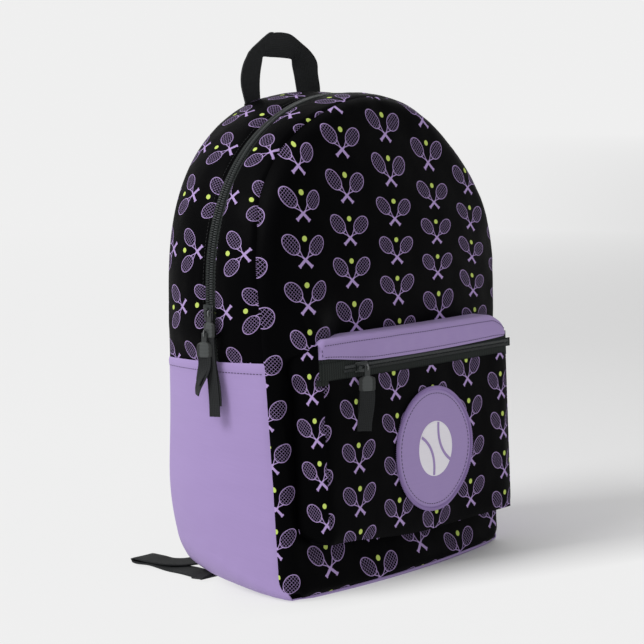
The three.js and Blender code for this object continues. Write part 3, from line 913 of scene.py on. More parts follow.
def main_zip():
    for side, sign, rider in (("rear", 1, None), ("front", -1, "flap")):
        path, _ = arch_line(ZIP_Y + sign * 4.9, -0.9, 400, 204.0)
        tape = sweep(f"main_zip_tape_{side}", path, (0, 1, 0), rounded(7.6, 0.8, 0.4, 2), [TAPE])
        path, out = arch_line(ZIP_Y, -0.4, 900, 205.0)
        coil = teeth(f"main_zip_coil_{side}", path, out, sign * 3.7, 0 if sign > 0 else 1)
        core, _ = arch_line(ZIP_Y + sign * 3.0, -0.25, 400, 205.0)
        cord = sweep("core", core, (0, 1, 0), rounded(1.6, 1.0, 0.5, 2), [TAPE])
        coil = joined(f"main_zip_coil_{side}", [coil, cord])
        for piece, slot in ((tape, "zip_tape"), (coil, "zip_coil")):
            if rider:
                bend(piece, rider, slot, f"main_{slot}_{side}")
            else:
                keep(piece, "root", slot, f"main_{slot}_{side}")


# ------------------------------------------------------------------ lower wrap

def wrap_base(u, v):
    def outline(s):
        depth = mix(front_seam(100) + 7, back_seam(100), v)
        return base_point(s, mix(-1, 1, u), waist_height(depth))
    def depth_at(z):
        low = 1 - ease((z - 3) / 16)
        return mix(front_seam(z) + mix(turned_back(z) + 0.4, 3.2, low), back_edge(z), v)
    p = wall(outline, depth_at, 0.3)
    p[..., 1] -= (1 - v) ** 2 * base_bulge(p[..., 0], p[..., 2])
    return p


def wrap_height(u, v, p):
    """Dips at the seams, soft horizontal slubs, and the turned hem standing proud at the waist."""
    y, z = p[..., 1], p[..., 2]
    across = np.minimum(v, 1 - v) * 130
    hem = ease((waist_height(y) - z + 0.5) / 1.5) * 0.55
    folded = hem * ease((z - (waist_height(y) - 7)) / 1.4)
    side = ease((np.abs(2 * u - 1) - 0.4) / 0.1)
    soft = ripple(y, z, 41, 95) * 1.3 + ripple(y * 0.5, z * 1.4, 42, 30) * 0.3
    corner = ripple(y * 1.3 + z, z - y, 43, 22) * np.exp(-z / 35) * 0.5
    proud = ease(across / 5) * (1.0 + soft + corner) + back_swell(z) * v ** 2
    return side * proud + 0.9 * hem + folded - 0.4


def on_floor(surface):
    """The surface with nothing of it below the floor."""
    def resting(u, v):
        p = surface(u, v)
        return np.concatenate([p[..., :2], np.maximum(p[..., 2:], CLOTH + 0.2)], -1)
    return resting


WRAP = on_floor(raised(wrap_base, wrap_height))


def wrap_uv(u, v, p):
    s = run_of(p[:, 18])
    return p[..., 1], s[:, None] + 0 * v


def lower_wrap():
    piece = shell("lower_wrap", WRAP, 250, 40, CLOTH, [PLAIN, LINING], wrap_uv)
    keep(piece, "root", "plain_fabric", "lower_wrap")
    v = np.linspace(0.02, 0.985, 160)
    inset = 0.0202  # share of the outline that lies 4.5 mm below the waist
    for side, at in (("left", inset / 2), ("right", 1 - inset / 2)):
        row = sewn_line(f"waist_stitching_{side}", WRAP, 0 * v + at, v, DARK_THREAD, lift=0.25)
        keep(row, "root", "plain_fabric")
    # the fold of the wrap that shows below the front panel
    s = section(0)
    x = np.linspace(-1, 1, 160) * (side_half(s, 10.0) - 8)
    z = 1.9 + corner_rise(s, x) * 0.98
    path = np.stack([x, front_seam(z) + 3.0 - base_bulge(x, z), z], 1)
    fold = sweep("base_fold", path, (0, 1, 0), rounded(3.4, 3.2, 0.5, 4), [PLAIN],
                 rise=lambda k: (min(1.0, 0.2 + 14 * min(k, 1 - k)),) * 2)
    keep(fold, "root", "plain_fabric")


# ------------------------------------------------------------------ front pocket

def pocket_foot(x):
    """The pocket's lower edge, which sags to the right."""
    return POCKET_FOOT + 3.0 - 10.0 * ease((x + 131) / 136)


def pocket_base(u, v):
    x = mix(-POCKET_SEAM, POCKET_RIGHT, u)
    foot = pocket_foot(x)
    z = mix(foot, POCKET_ZIP_LOW - 1.0 + 3.0 * np.clip(-x / 250, 0, 1), v)
    edge = np.minimum(np.minimum(POCKET_SEAM + x, POCKET_RIGHT - x), z - foot)
    puff = ease(edge / 14) * (1.2 + ripple(x, z, 51, 110) * 1.4 + ripple(x * 1.4, z, 52, 38) * 0.4)
    sag = 2.2 * np.sin(np.pi * np.clip((z - 50) / 140, 0, 1)) * ease(edge / 60)
    return np.stack([x, pocket_face(z) - puff - sag + 1.6 * (1 - ease(edge / 5)), z], -1)


def pocket_uv(u, v, p):
    return (p[..., 0] - 16.0) * (PRINT_COLUMN / 54.05), p[..., 2] - 131.5


def pocket_rim(a):
    """The line where the pocket's wall starts: left side, bottom, right side, as x and z."""
    radius, k, sign = 9.0, np.abs(a), np.sign(a)
    seam = np.where(a < 0, POCKET_SEAM, POCKET_RIGHT)
    bend_start, bend_end = 0.46, 0.52
    turn = (np.pi / 2) * np.clip((k - bend_start) / (bend_end - bend_start), 0, 1)
    flat = seam - radius
    x = sign * np.where(k < bend_start, flat * k / bend_start, flat + radius * np.sin(turn))
    low = pocket_foot(x)
    z = low + radius - radius * np.cos(turn)
    top = np.where(a < 0, POCKET_TOP - 4, POCKET_ZIP_HIGH - 2)
    z = np.where(k > bend_end, mix(low + radius, top, (k - bend_end) / (1 - bend_end)), z)
    x = x + sign * (POCKET_HALF - 2 - seam) * ease((z - 188) / 6)
    return x, z


def pocket_wall_base(u, v):
    """From the pocket's front seam, round a soft corner and back to the body."""
    x, z = pocket_rim(mix(-1, 1, u))
    k = np.abs(mix(-1, 1, u))
    side = ease((k - 0.44) / 0.1)
    flare = 11.0 * v ** 0.8 + 2.5 * np.sin(np.pi * v)
    out_x = np.sign(x) * flare * side
    down = -(1 - side) * (3.0 * v + 1.5 * np.sin(np.pi * v))
    near = pocket_face(z) + 2.2 - 1.2 * side
    far = front_seam(z) - crown(np.abs(x) + 8, z) - 1.2
    soft = ripple(z * 1.3 + x, near + v * 30, 61, 32) * 0.7 * np.sin(np.pi * v)
    return np.stack([x + out_x + soft * side, mix(near, far, v) + 0 * x, z + down], -1)


def pocket_wall_uv(u, v, p):
    forward = np.maximum(0, front_seam(p[..., 2]) - p[..., 1])
    left = p[..., 0] < 0
    x = np.where(left, p[..., 0], -p[..., 0])
    across, up = panel_print(*drawn_out(x - 7.5, forward, p[..., 2]))
    return np.where(left, across, -across), up


def pocket():
    front = shell("pocket_front", pocket_base, 84, 50, CLOTH, [PRINT, LINING], pocket_uv, into=(0, 1, 0))
    keep(front, "root", "print_fabric", "pocket_front")
    side = shell("pocket_gusset", pocket_wall_base, 190, 18, CLOTH, [PRINT, LINING], pocket_wall_uv)
    keep(side, "root", "print_fabric", "pocket_gusset")


def lid_edges(x):
    """Lower and upper height of the pocket's plain top strip, which sags over the zip."""
    sag = 3.0 * np.sin(np.pi * np.clip((x + 125) / 255, 0, 1)) ** 0.7
    low = 205.0 + 4.5 * ease((-x - 60) / 70) - sag
    corner = np.clip((x - 112) / 27, 0, 1)
    return low, POCKET_TOP - 13.0 * corner ** 1.6 - 7.0 * np.clip((-x - 128) / 9, 0, 1) ** 2


def lid_base(u, v):
    x = mix(-POCKET_HALF - 0.5, POCKET_HALF + 0.5, u)
    low, top = lid_edges(x)
    end = np.clip((np.abs(x) - (POCKET_HALF - 9)) / 9.5, 0, 1)
    tuck = 9.0 * (1 - np.sqrt(np.maximum(0, 1 - end ** 2)))
    bend_radius = 6.0
    front = pocket_face(low) - 1.2 + tuck
    body = front_seam(226.0) - crown(x, 228.0) - shoulder(x, 226.0) - 1.5
    back = np.maximum(body, front + 7)
    back = mix(back, front + 6.5, 1 - ease((POCKET_HALF + 1 - np.abs(x)) / 30))
    rise = np.clip(v / 0.42, 0, 1)
    turn = (np.pi / 2) * np.clip((v - 0.42) / 0.2, 0, 1)
    run = np.clip((v - 0.62) / 0.38, 0, 1)
    y = front + bend_radius * (1 - np.cos(turn)) + (back - front - bend_radius) * run
    z = mix(low, top - bend_radius, rise) + bend_radius * np.sin(turn)
    clear = np.minimum(1, np.minimum(v * 6, (1 - v) * 6))
    soft = ripple(x, z * 2 + y, 71, 60) * 1.7 + ripple(x * 1.2, z + y, 72, 21) * 0.6
    y = y - 0.6 * np.sin(np.pi * rise) - soft * clear * (1 - run)
    return np.stack([x, y, z + soft * 0.5 * run * clear], -1)


def lid_uv(u, v, p):
    return p[..., 0], v * 45


def pocket_lid():
    strip_piece = shell("pocket_top_strip", lid_base, 130, 30, CLOTH, [PLAIN, LINING], lid_uv)
    keep(strip_piece, "pocket_lid", "plain_fabric", "pocket_top_strip")
    u = np.linspace(0.03, 0.985, 300)
    lower = sewn_line("lid_stitching_lower", lid_base, u, 0 * u + 0.07, DARK_THREAD, lift=0.2)
    upper = sewn_line("lid_stitching_upper", lid_base, u, 0 * u + 0.44, DARK_THREAD, lift=0.2)
    v = np.linspace(0.07, 0.42, 40)
    left = sewn_line("lid_stitching_left", lid_base, 0 * v + 0.022, v, DARK_THREAD, lift=0.2)
    keep(joined("lid_stitching", [lower, upper, left]), "pocket_lid", "plain_fabric")


def pocket_zip_line(x, z, lift):
    """The pocket zip's path at one height; its left end tucks in behind the lid."""
    tuck = 5.0 * np.clip((-x - 128) / 10, 0, 1) ** 2
    return np.stack([x, pocket_face(z) + lift + tuck, z + 0 * x], 1)


def pocket_tape(name, x, z, lift, high, thick):
    path = pocket_zip_line(x, z, lift)
    return sweep(name, path, (0.0, -POCKET_LEAN, -1.0), rounded(high, thick, 0.4, 2), [TAPE])


def tape_end(x_from, x_to, high):
    """Plain tape beyond the end of the coil."""
    return pocket_tape("tape_end", np.linspace(x_from, x_to, 24), POCKET_ZIP_MIDDLE, -0.5, high, 0.9)


def upright_teeth(name, spots, sign):
    rings = []
    for share, girth, lift in ((0.0, 0.5, 0.4), (0.16, 0.7, 1.1), (0.8, 0.7, 1.3), (1.0, 0.5, 0.5)):
        z = POCKET_ZIP_MIDDLE + sign * 3.2 * share
        spine = np.stack([spots, pocket_face(z) - lift + 0 * spots, z + 0 * spots], 1)
        rings.append(hexagons(spine, (1, 0, 0), (0, 1, 0), girth))
    return beads(name, rings, COIL)


def pocket_zip():
    x = np.linspace(-POCKET_SEAM - 5.5, POCKET_HALF - 2, 200)
    coil_from, coil_to = -105, POCKET_RIGHT + 2
    count = int((coil_to - coil_from) / TOOTH_PITCH)
    for side, sign, shift, low, high, body in (
            ("lower", -1, 0, POCKET_ZIP_LOW - 3.2, 196.4, "root"),
            ("upper", 1, 0.5, 200.6, POCKET_ZIP_HIGH + 2.5, "pocket_lid")):
        tape = pocket_tape(f"pocket_zip_tape_{side}", x, (low + high) / 2, 0.2, high - low, 0.8)
        if side == "lower":
            ends = [tape_end(-POCKET_SEAM - 5.5, -104, 14.5), tape_end(136, 141.5, 8)]
            tape = joined("tape", [tape, *ends])
        keep(tape, body, "zip_tape", f"pocket_zip_tape_{side}")
        spots = coil_from + TOOTH_PITCH * (np.arange(count) + shift)
        coil = upright_teeth(f"pocket_zip_coil_{side}", spots, sign)
        keep(coil, body, "zip_coil", f"pocket_zip_coil_{side}")


# ------------------------------------------------------------------ patch

PATCH_X, PATCH_Z, PATCH_RADIUS = 14.0, 114.0, 55.6


def patch_point(radius, angle, lift):
    x, z = PATCH_X + radius * np.cos(angle), PATCH_Z + radius * np.sin(angle)
    u = (x + POCKET_SEAM) / (POCKET_RIGHT + POCKET_SEAM)
    foot = pocket_foot(x)
    v = (z - foot) / (POCKET_ZIP_LOW - foot)
    on = pocket_base(u, v)
    return np.stack([x, on[..., 1] - lift, z], -1)


def disc(name, radius, lift, thick, looks):
    """A round cloth badge lying on the pocket, with a soft edge."""
    def surface(u, v):
        edge = ease((1 - u) * radius / 1.4)
        return patch_point(u * radius, v * 2 * np.pi, lift - thick * 0.6 * (1 - edge))
    return shell(name, surface, 26, 97, thick, looks,
                 lambda u, v, p: (p[..., 0], p[..., 2]), into=(0, 1, 0))


def patch():
    badge = disc("patch", PATCH_RADIUS, 1.5, 1.2, [PATCH_CLOTH])
    keep(badge, "root", "plain_fabric", "patch")
    ring = patch_point(PATCH_RADIUS - 5.5, np.linspace(0, 2 * np.pi, 360), 1.5)
    row = stitches("patch_stitching", ring, (0, -1, 0), BLACK_THREAD, pitch=3.6, length=2.5)
    keep(row, "root", "plain_fabric")
    keep(overlock(), "root", "plain_fabric")
    emblem()


def overlock():
    """The merrowed edge: close, slightly slanted threads wrapped over the badge's rim."""
    angle = np.linspace(0, 2 * np.pi, 190, endpoint=False)
    radial = np.stack([np.cos(angle), 0 * angle, np.sin(angle)], 1)
    around = np.stack([-np.sin(angle), 0 * angle, np.cos(angle)], 1)
    rings = []
    for reach, lift, slip, girth in ((-2.6, 1.55, -0.5, 0.5), (-1.2, 2.1, -0.2, 0.95),
                                     (0.3, 1.7, 0.1, 0.95), (0.95, 0.8, 0.3, 0.8)):
        spine = patch_point(PATCH_RADIUS + reach, angle, lift) + around * slip
        rings.append(hexagons(spine, around, radial * 0.3 + (0, -1, 0), girth))
    return beads("patch_edge", rings, LILAC_THREAD)


def emblem():
    """A plain white ball with its two curved seams: generic, in place of lettering."""
    radius = 25.0
    badge = disc("patch_emblem", radius, 2.2, 0.9, [EMBLEM])
    keep(badge, "root", "emblem", "patch_emblem")
    seams = []
    for sign in (-1, 1):
        t = np.linspace(-0.84, 0.84, 60)
        bow = 0.28 + 0.38 * t ** 2
        x, z = sign * bow * radius, t * radius * 0.94
        limit = np.sqrt(np.maximum(0, (radius - 0.6) ** 2 - z ** 2))
        x = np.clip(x, -limit, limit)
        tilt = math.radians(24)
        px = x * math.cos(tilt) - z * math.sin(tilt)
        pz = x * math.sin(tilt) + z * math.cos(tilt)
        path = patch_point(np.hypot(px, pz), np.arctan2(pz, px), 2.35)
        wide = unit(np.cross(np.gradient(path, axis=0), [0.0, 1.0, 0.0]))
        seams.append(sweep(f"seam{sign}", path, wide, rounded(2.6, 0.9, 0.4, 3), [PATCH_CLOTH]))
    keep(joined("emblem_seams", seams), "root", "plain_fabric")


# ------------------------------------------------------------------ sliders and pulls

def box_part(name, size, centre, look, bevel):
    """A bevelled block, in millimetres."""
    x, y, z = (s / 2 for s in size)
    points = [(a * x, b * y, c * z) for a in (-1, 1) for b in (-1, 1) for c in (-1, 1)]
    faces = [(0, 1, 3, 2), (4, 6, 7, 5), (0, 4, 5, 1), (2, 3, 7, 6), (0, 2, 6, 4), (1, 5, 7, 3)]
    obj = build(name, points, faces, [look])
    modifier = obj.modifiers.new("edge", "BEVEL")
    modifier.width, modifier.segments = bevel * MM, 3
    bpy.context.view_layer.objects.active = obj
    obj.select_set(True)
    bpy.ops.object.modifier_apply(modifier="edge")
    obj.data.transform(translation(centre))
    return obj


def translation(centre):
    return Matrix.Translation(Vector(centre) * MM)


def turn_mesh(obj, axis, degrees):
    obj.data.transform(Matrix.Rotation(math.radians(degrees), 4, axis))


def scales(*columns):
    """A rise for sweep, read off evenly spaced values."""
    return lambda k: [float(np.interp(k, np.linspace(0, 1, len(c)), c)) for c in columns]


def slider_parts(name):
    """A zip slider facing -Y with its length along Z: two plates, their neck, bridge and loop."""
    under = box_part("under", (8.4, 0.9, 12), (0, 0.6, 0), METAL, 0.3)
    neck = box_part("neck", (2.6, 2.4, 3.5), (0, -0.2, 4.5), METAL, 0.4)
    posts = [box_part("post", (2.6, 2.0, 1.8), (0, -2.6, z), METAL, 0.4) for z in (-3.6, 3.6)]
    loop = [(0, -3.0, -4.2), (0, -3.9, -3.4), (0, -4.3, -1),
            (0, -4.3, 1), (0, -3.9, 3.4), (0, -3.0, 4.2)]
    arch = sweep("arch", smooth_path(loop, 20), (1, 0, 0), rounded(2.6, 0.9, 0.45, 3), [METAL])
    return joined(name, [tapered_plate("plate"), under, neck, *posts, arch])


def tapered_plate(name):
    """The slider's top plate: wide at the shoulders and narrower at its tail, with rounded sides."""
    z = np.linspace(-7, 7, 15)
    half = np.interp(z, [-7, -5, 1, 5, 7], [3.2, 4.0, 4.4, 5.0, 4.3])
    path = np.stack([0 * z, -1.5 + 0 * z, z], 1)
    return sweep(name, path, (1, 0, 0), rounded(2.0, 1.3, 0.45, 3), [METAL], rise=scales(half, [1.0]))


def grip_part(name, width):
    """The moulded pull: a stem with an eye, then a ribbed housing that holds the webbing."""
    stem = box_part("stem", (4.6, 2.2, 9), (0, 0, -3.6), PLASTIC, 0.7)
    eye = sweep("eye", eye_path(2.1), (1, 0, 0), rounded(1.5, 1.5, 0.5, 3), [METAL], closed=True)
    z = np.linspace(-20.2, -7, 24)
    wide = width / 2
    half = np.interp(z, [-20.2, -19.2, -12, -9, -7], [wide - 0.8, wide, wide, wide - 0.4, 3.0])
    ribs = 1.0 + 0.14 * (np.sin((z + 20) * 2 * np.pi / 3.2) > 0.1)
    path = np.stack([0 * z, 0 * z, z], 1)
    housing = sweep("housing", path, (1, 0, 0), rounded(2.0, 2.6, 0.42, 3), [PLASTIC],
                    rise=scales(half, ribs))
    return joined(name, [stem, eye, housing])


def eye_path(radius):
    a = np.linspace(0, 2 * np.pi, 20, endpoint=False)
    return np.stack([0 * a, radius * np.cos(a), radius * 1.2 * np.sin(a) + 0.2], 1)


def strap(name, centres, across, width, thick, look, count):
    """Webbing along a smooth route; across is its width direction, one for all or one per point."""
    both = smooth_path(np.hstack([centres, np.broadcast_to(across, np.shape(centres))]), count)
    return sweep(name, both[:, :3], both[:, 3:], rounded(width, thick), [look])


def pull_webbing(name, length, width, kink, twist=0.0):
    """Two plies of narrow webbing out of the housing; the under ply ends a little higher."""
    def ply(label, end, depth, wave):
        z = np.linspace(-19.0, -end, 7)
        share = (z + 19) / (19 - end)
        x = kink * ease(share * 1.2 - 0.2) + wave * np.sin(share * 5)
        y = depth + 0.7 * np.sin(share * 4 + wave)
        angle = twist * share
        across = np.stack([np.cos(angle), np.sin(angle), 0 * angle], 1)
        return strap(label, np.stack([x, y, z], 1), across, width, 0.95, WEBBING, 36)
    return joined(name, [ply("upper", length, -0.55, 0.4), ply("under", length - 9, 0.5, -0.3)])


def placed(obj, about_z, origin):
    turn_mesh(obj, "Z", about_z)
    obj.data.transform(translation(origin))
    return obj


MAIN_SLIDERS = {"upper": 246.0, "lower": 229.0}
PULL_SPREAD = 6.5


def main_sliders():
    plane = float(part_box("main_pull_upper_grip")[0].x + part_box("main_pull_upper_grip")[1].x) / 2 / MM
    face = float(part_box("main_slider_upper")[1].x) / MM
    for name, z in MAIN_SLIDERS.items():
        slider = placed(slider_parts(f"main_slider_{name}"), -90, (face, ZIP_Y, z))
        body = "main_slider_upper" if name == "upper" else "root"
        keep(slider, body, "hardware", f"main_slider_{name}")
    for name, sign, turn, wide, length, kink, twist in (("upper", -1, -88, 12, 88, 7.0, 0.2),
                                                        ("lower", 1, -62, 13.5, 53, -6.0, -1.1)):
        over, shift = (3.4, -10.0) if name == "lower" else (0.0, 0.0)
        origin = (plane - over, ZIP_Y + sign * PULL_SPREAD + shift, MAIN_SLIDERS[name])
        body = f"main_pull_{name}"
        keep(placed(grip_part(f"{body}_grip", wide), turn, origin), body, "hardware", f"{body}_grip")
        tail = placed(pull_webbing(f"{body}_webbing", length, wide - 1.5, kink, twist), turn, origin)
        keep(tail, body, "webbing", f"{body}_webbing")


def pocket_slider():
    x, z = -84.0, POCKET_ZIP_MIDDLE
    y = pocket_face(z) - 1.5
    slider = slider_parts("pocket_slider")
    turn_mesh(slider, "Y", 90)
    slider.data.transform(translation((x, y, z)))
    keep(slider, "pocket_slider", "hardware", "pocket_slider")
    origin = (x, y - 7.5, z)
    grip = placed(grip_part("pocket_pull_grip", 15), -32, origin)
    keep(grip, "pocket_pull", "hardware", "pocket_pull_grip")
    tail = placed(pull_webbing("pocket_pull_webbing", 55, 14, -2.5, 0.12), -32, origin)
    keep(tail, "pocket_pull", "webbing", "pocket_pull_webbing")


# ------------------------------------------------------------------ handle

# Inner and outer edge of the handle's webbing as x, y, z: flat legs, folded over at both top corners
HANDLE_INNER = [(-33, 74, 424), (-33.9, 74, 441), (-33, 74, 452), (-30.5, 74, 463), (-29.6, 74, 467),
                (-28.5, 74.5, 467.6), (-18, 75, 467.4), (-6, 75, 467.2), (8, 76, 466.8), (14, 77, 466.5),
                (17, 78, 465.5), (19, 79, 460), (22, 79, 450), (25, 79, 438), (27.4, 78, 424)]
HANDLE_OUTER = [(-52, 74, 424), (-57.5, 74, 442), (-56.5, 74, 454), (-51, 73.5, 466), (-43.3, 73, 475),
                (-28.1, 72, 485.5), (-14, 72, 489.6), (-1, 72, 489.9), (10, 71, 487.4), (20, 70, 481.8),
                (31, 69, 475.2), (40.4, 68, 465.5), (43, 68, 452), (46, 68, 438), (47, 70, 424)]


def handle():
    both = smooth_path(np.hstack([np.array(HANDLE_INNER, float), np.array(HANDLE_OUTER, float)]), 121)
    at = np.linspace(0, 1, 121)
    s = at * path_length(both)

    def band(u, v):
        inner = np.stack([np.interp(u, at, both[:, k]) for k in range(3)], -1)
        outer = np.stack([np.interp(u, at, both[:, k]) for k in range(3, 6)], -1)
        bow = np.sin(np.pi * v) * 0.7
        return mix(inner, outer, v[..., None]) - np.stack([0 * bow, bow, 0 * bow], -1)
    piece = shell("handle", band, 121, 9, 2.0, [WEBBING],
                  lambda u, v, p: (np.interp(u, at, s) * 1.3, v * 24))
    bend(piece, "handle", "webbing", "handle", start=(0, 0.0744, 0.428), end=(0, 0.0744, 0.442))
    for side, x in (("left", -42.5), ("right", 36)):
        foot = strap(f"handle_foot_{side}", [(x, 73.9, 400), (x, 74.4, 412), (x, 74.4, 424)],
                     (1, 0, 0), 19, 1.6, WEBBING, 16)
        keep(foot, "root", "webbing", f"handle_foot_{side}")
        corners = [(-9, 404), (9, 404), (9, 421), (-9, 421), (-9, 404), (9, 421), (9, 404), (-9, 421)]
        path = resample(np.array([(x + dx, 75.3, z) for dx, z in corners], float), 160)
        keep(stitches(f"handle_bartack_{side}", path, (0, 1, 0), BLACK_THREAD), "root", "webbing")


# ------------------------------------------------------------------ back

def back_base(u, v):
    s = section(1, -3.0)
    x, z, low = in_outline(s, u, v, lambda at: 1 + corner_rise(s, at))
    from_edge = panel_inside(x, z, s) * 75
    x = x * (1 + (back_swell(z) - 3) / 150)
    rim = ease(np.minimum(from_edge, z - low) / 9)
    column = np.exp(-((np.abs(x) - 48) / 3.2) ** 2) * ease((z - 40) / 10) * ease((372 - z) / 10)
    frame_edge = np.exp(-((from_edge - 22) / 3.0) ** 2) * (z < 372)
    yoke = ease((z - 384) / 8)
    swell = ease((from_edge - 22) / 16) * 2.0 * (1 - yoke)
    soft = ripple(x, z, 81, 70) * 0.5 * (1 - yoke)
    sunk = 2.6 * np.maximum(column, frame_edge) * (1 - yoke)
    return np.stack([x, back_seam(z) - 2.6 + rim * 1.6 + swell + soft - sunk, z], -1)


def plain_xz(u, v, p):
    return p[..., 0], p[..., 2]


def back():
    panel = shell("back_panel", back_base, 120, 130, 2.0, [MESH, LINING], plain_xz, into=(0, -1, 0))
    keep(panel, "root", "black_fabric", "back_panel", "back_foam")

    def lining_surface(u, v):
        x, z, _ = in_outline(section(1, 6), u, v, lambda at: 22.0 + 0 * at)
        return np.stack([x, back_seam(z) - 13.6 + ripple(x, z, 91, 80) * 0.5, z], -1)
    inner = shell("back_lining", lining_surface, 50, 60, 0.9, [LINING], plain_xz, into=(0, 1, 0))
    keep(inner, "root", "black_fabric", "back_lining")


def sleeve():
    """The laptop sleeve: an open-topped padded pocket against the back, with a bound edge."""
    low, high, half, front = 62.0, 280.0, 125.0, 45.6

    def surface(u, v):
        x, z = mix(-half, half, u), mix(low, high, v)
        edge = np.minimum(half - np.abs(x), z - low)
        bow = ripple(x, z, 95, 90) * 0.4 + 0.4 * ease(edge / 30)
        return np.stack([x, front + 5.5 * (1 - ease(edge / 7)) + 0.5 - bow, z], -1)
    face = shell("laptop_sleeve", surface, 60, 50, 1.6, [LINING], plain_xz, into=(0, 1, 0))
    keep(face, "root", "black_fabric", "laptop_sleeve")
    x = np.linspace(-half, half, 60)
    path = np.stack([x, front + 1.2 + 5.5 * (1 - ease((half - np.abs(x)) / 7)), high + 3.0 + 0 * x], 1)
    binding = sweep("sleeve_binding", path, (0, 0, 1), rounded(9, 3.0, 0.5, 4), [BLACK_CLOTH])
    keep(binding, "root", "webbing", "sleeve_binding")
    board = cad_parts["bottom_board"]
    board.data.materials.clear()
    board.data.materials.append(BOARD)


# ------------------------------------------------------------------ shoulder straps

PAD_ROUTE = [(50, 82, 389), (54, 85, 368), (62, 88.5, 340), (74, 91, 300), (88, 90, 245), (96, 86, 194)]
PAD_HALF = 30.0
PAD_BEND = {"start": (0, 0.08, 0.397), "end": (0, 0.085, 0.380)}
STRAP_WIDTH = 25


def pad_width(k):
    """The pad's width as a share of its full width; k is 0 at the yoke and 1 at the lock."""
    return 1 - 0.31 * np.maximum(0, (k - 0.6) / 0.4) ** 2


def in_face_plane(route):
    tangent = np.gradient(np.asarray(route, float), axis=0)
    return unit(np.stack([tangent[:, 2], 0 * tangent[:, 0], -tangent[:, 0]], 1))


def pad_body(side, sign):
    """A foam pad: a slack form blown up by a cloth simulation, so that it puffs between its edges."""
    route = np.array(PAD_ROUTE, float) * np.array([sign, 1, 1])
    path = smooth_path(route, 56)
    wide = in_face_plane(path)

    def rise(k):
        end = min(1.0, (k + 0.015) * 26, (1.015 - k) * 26)
        return pad_width(k) * (0.9 + 0.1 * end), 0.35 + 0.65 * end
    name = f"shoulder_pad_{side}"
    outline = rounded(2 * PAD_HALF, 9.0, 0.5, 5)
    edge = np.abs(outline[:, 0]) / PAD_HALF
    outline[:, 1] *= 1 - 0.45 * edge ** 4
    pad = sweep(name, path, wide, outline, [MESH], rise=rise)
    puff(pad, 3.0)
    return pad, path, wide


def puff(obj, cap_mm):
    """Remeshes a pad, lets cloth pressure fill it, and caps how far any point moves."""
    view = bpy.context.view_layer
    bpy.ops.object.select_all(action="DESELECT")
    obj.select_set(True)
    view.objects.active = obj
    remesh = obj.modifiers.new("even", "REMESH")
    remesh.mode, remesh.voxel_size = "VOXEL", 4 * MM
    bpy.ops.object.modifier_apply(modifier="even")
    before = np.array([v.co for v in obj.data.vertices], float)
    cloth = obj.modifiers.new("fill", "CLOTH")
    cloth.settings.use_pressure = True
    cloth.settings.uniform_pressure_force = 4.0
    cloth.settings.effector_weights.gravity = 0
    cloth.settings.quality = 5
    for step in range(1, 21):
        bpy.context.scene.frame_set(step)
    bpy.ops.object.modifier_apply(modifier="fill")
    bpy.context.scene.frame_set(1)
    after = np.array([v.co for v in obj.data.vertices], float)
    move = after - before
    length = np.linalg.norm(move, axis=1, keepdims=True)
    limit = cap_mm * MM
    after = before + move * np.minimum(1, limit / np.maximum(length, 1e-9))
    obj.data.vertices.foreach_set("co", after.ravel())
    finer = obj.modifiers.new("smooth", "SUBSURF")
    finer.levels = 1
    bpy.ops.object.modifier_apply(modifier="smooth")
    obj.data.polygons.foreach_set("use_smooth", [True] * len(obj.data.polygons))


def shoulder_strap(side, sign):
    body = f"strap_{side}"
    pad, path, wide = pad_body(side, sign)
    bend(pad, body, "black_fabric", f"shoulder_pad_{side}", **PAD_BEND)
    half = PAD_HALF * pad_width(np.linspace(0, 1, len(path)))
    ends = []
    for edge in (-1, 1):
        line = (path + wide * (edge * half)[:, None])[2:-1]
        ends.append(sweep("binding", line, wide[2:-1], rounded(3.6, 6.4, 0.45, 3), [BLACK_CLOTH]))
    bend(joined(f"pad_binding_{side}", ends), body, "webbing", **PAD_BEND)
    x, level = sign * 97, (1, 0, 0)
    route = np.array([(62, 96.4, 340), (74, 98.6, 300), (88, 97.4, 245), (96, 93.0, 202), (97, 88, 186)])
    route = route * (sign, 1, 1)
    run = strap(f"pad_webbing_{side}", route, in_face_plane(route), STRAP_WIDTH, 1.6, WEBBING, 60)
    keep(run, body, "webbing")
    tab = strap(f"pad_tab_{side}", [(x, 85.5, 196), (x, 84.6, 186), (x, 84.4, 172), (x, 84.8, 166.6)],
                level, STRAP_WIDTH, 1.8, WEBBING, 24)
    keep(tab, body, "webbing", f"pad_tab_{side}")
    keep(ladder_lock(side, x), body, "hardware", f"ladder_lock_{side}")
    end = x - sign
    hanging = [(x, 86.4, 160), (x, 89, 150), (x, 89.6, 125), (end, 90.6, 94)]
    hem = [(end, 90.7, 104), (end, 90.9, 93), (end, 92.2, 91.4), (end, 93.2, 94), (end, 92.6, 104)]
    tail = strap("tail", hanging, level, STRAP_WIDTH, 1.7, WEBBING, 40)
    fold = strap("fold", hem, level, STRAP_WIDTH, 1.5, WEBBING, 30)
    keep(joined(f"strap_tail_{side}", [tail, fold]), body, "webbing", f"strap_tail_{side}")


def ladder_lock(side, x):
    """A ladder lock: side rails, three cross bars at stepped depths and a lifting lip."""
    parts = []
    for sign in (-1, 1):
        rail = [(x + sign * out, y, z) for out, y, z in (
            (15.4, 83.8, 172.5), (15.6, 84.6, 166), (15.6, 84.8, 158),
            (15.0, 85.6, 150), (13.6, 87.2, 146.5))]
        parts.append(strap("rail", rail, (1, 0, 0), 3.2, 4.2, PLASTIC, 24))
    for z, y, high, deep in ((171.2, 84.0, 3.4, 3.4), (161.5, 84.6, 4.4, 3.0), (148.0, 86.6, 5.4, 2.6)):
        bar = [(x - 15.5, y, z), (x, y, z), (x + 15.5, y, z)]
        parts.append(strap("bar", bar, (0, 0.15, 1), high, deep, PLASTIC, 12))
    return joined(f"ladder_lock_{side}", parts)


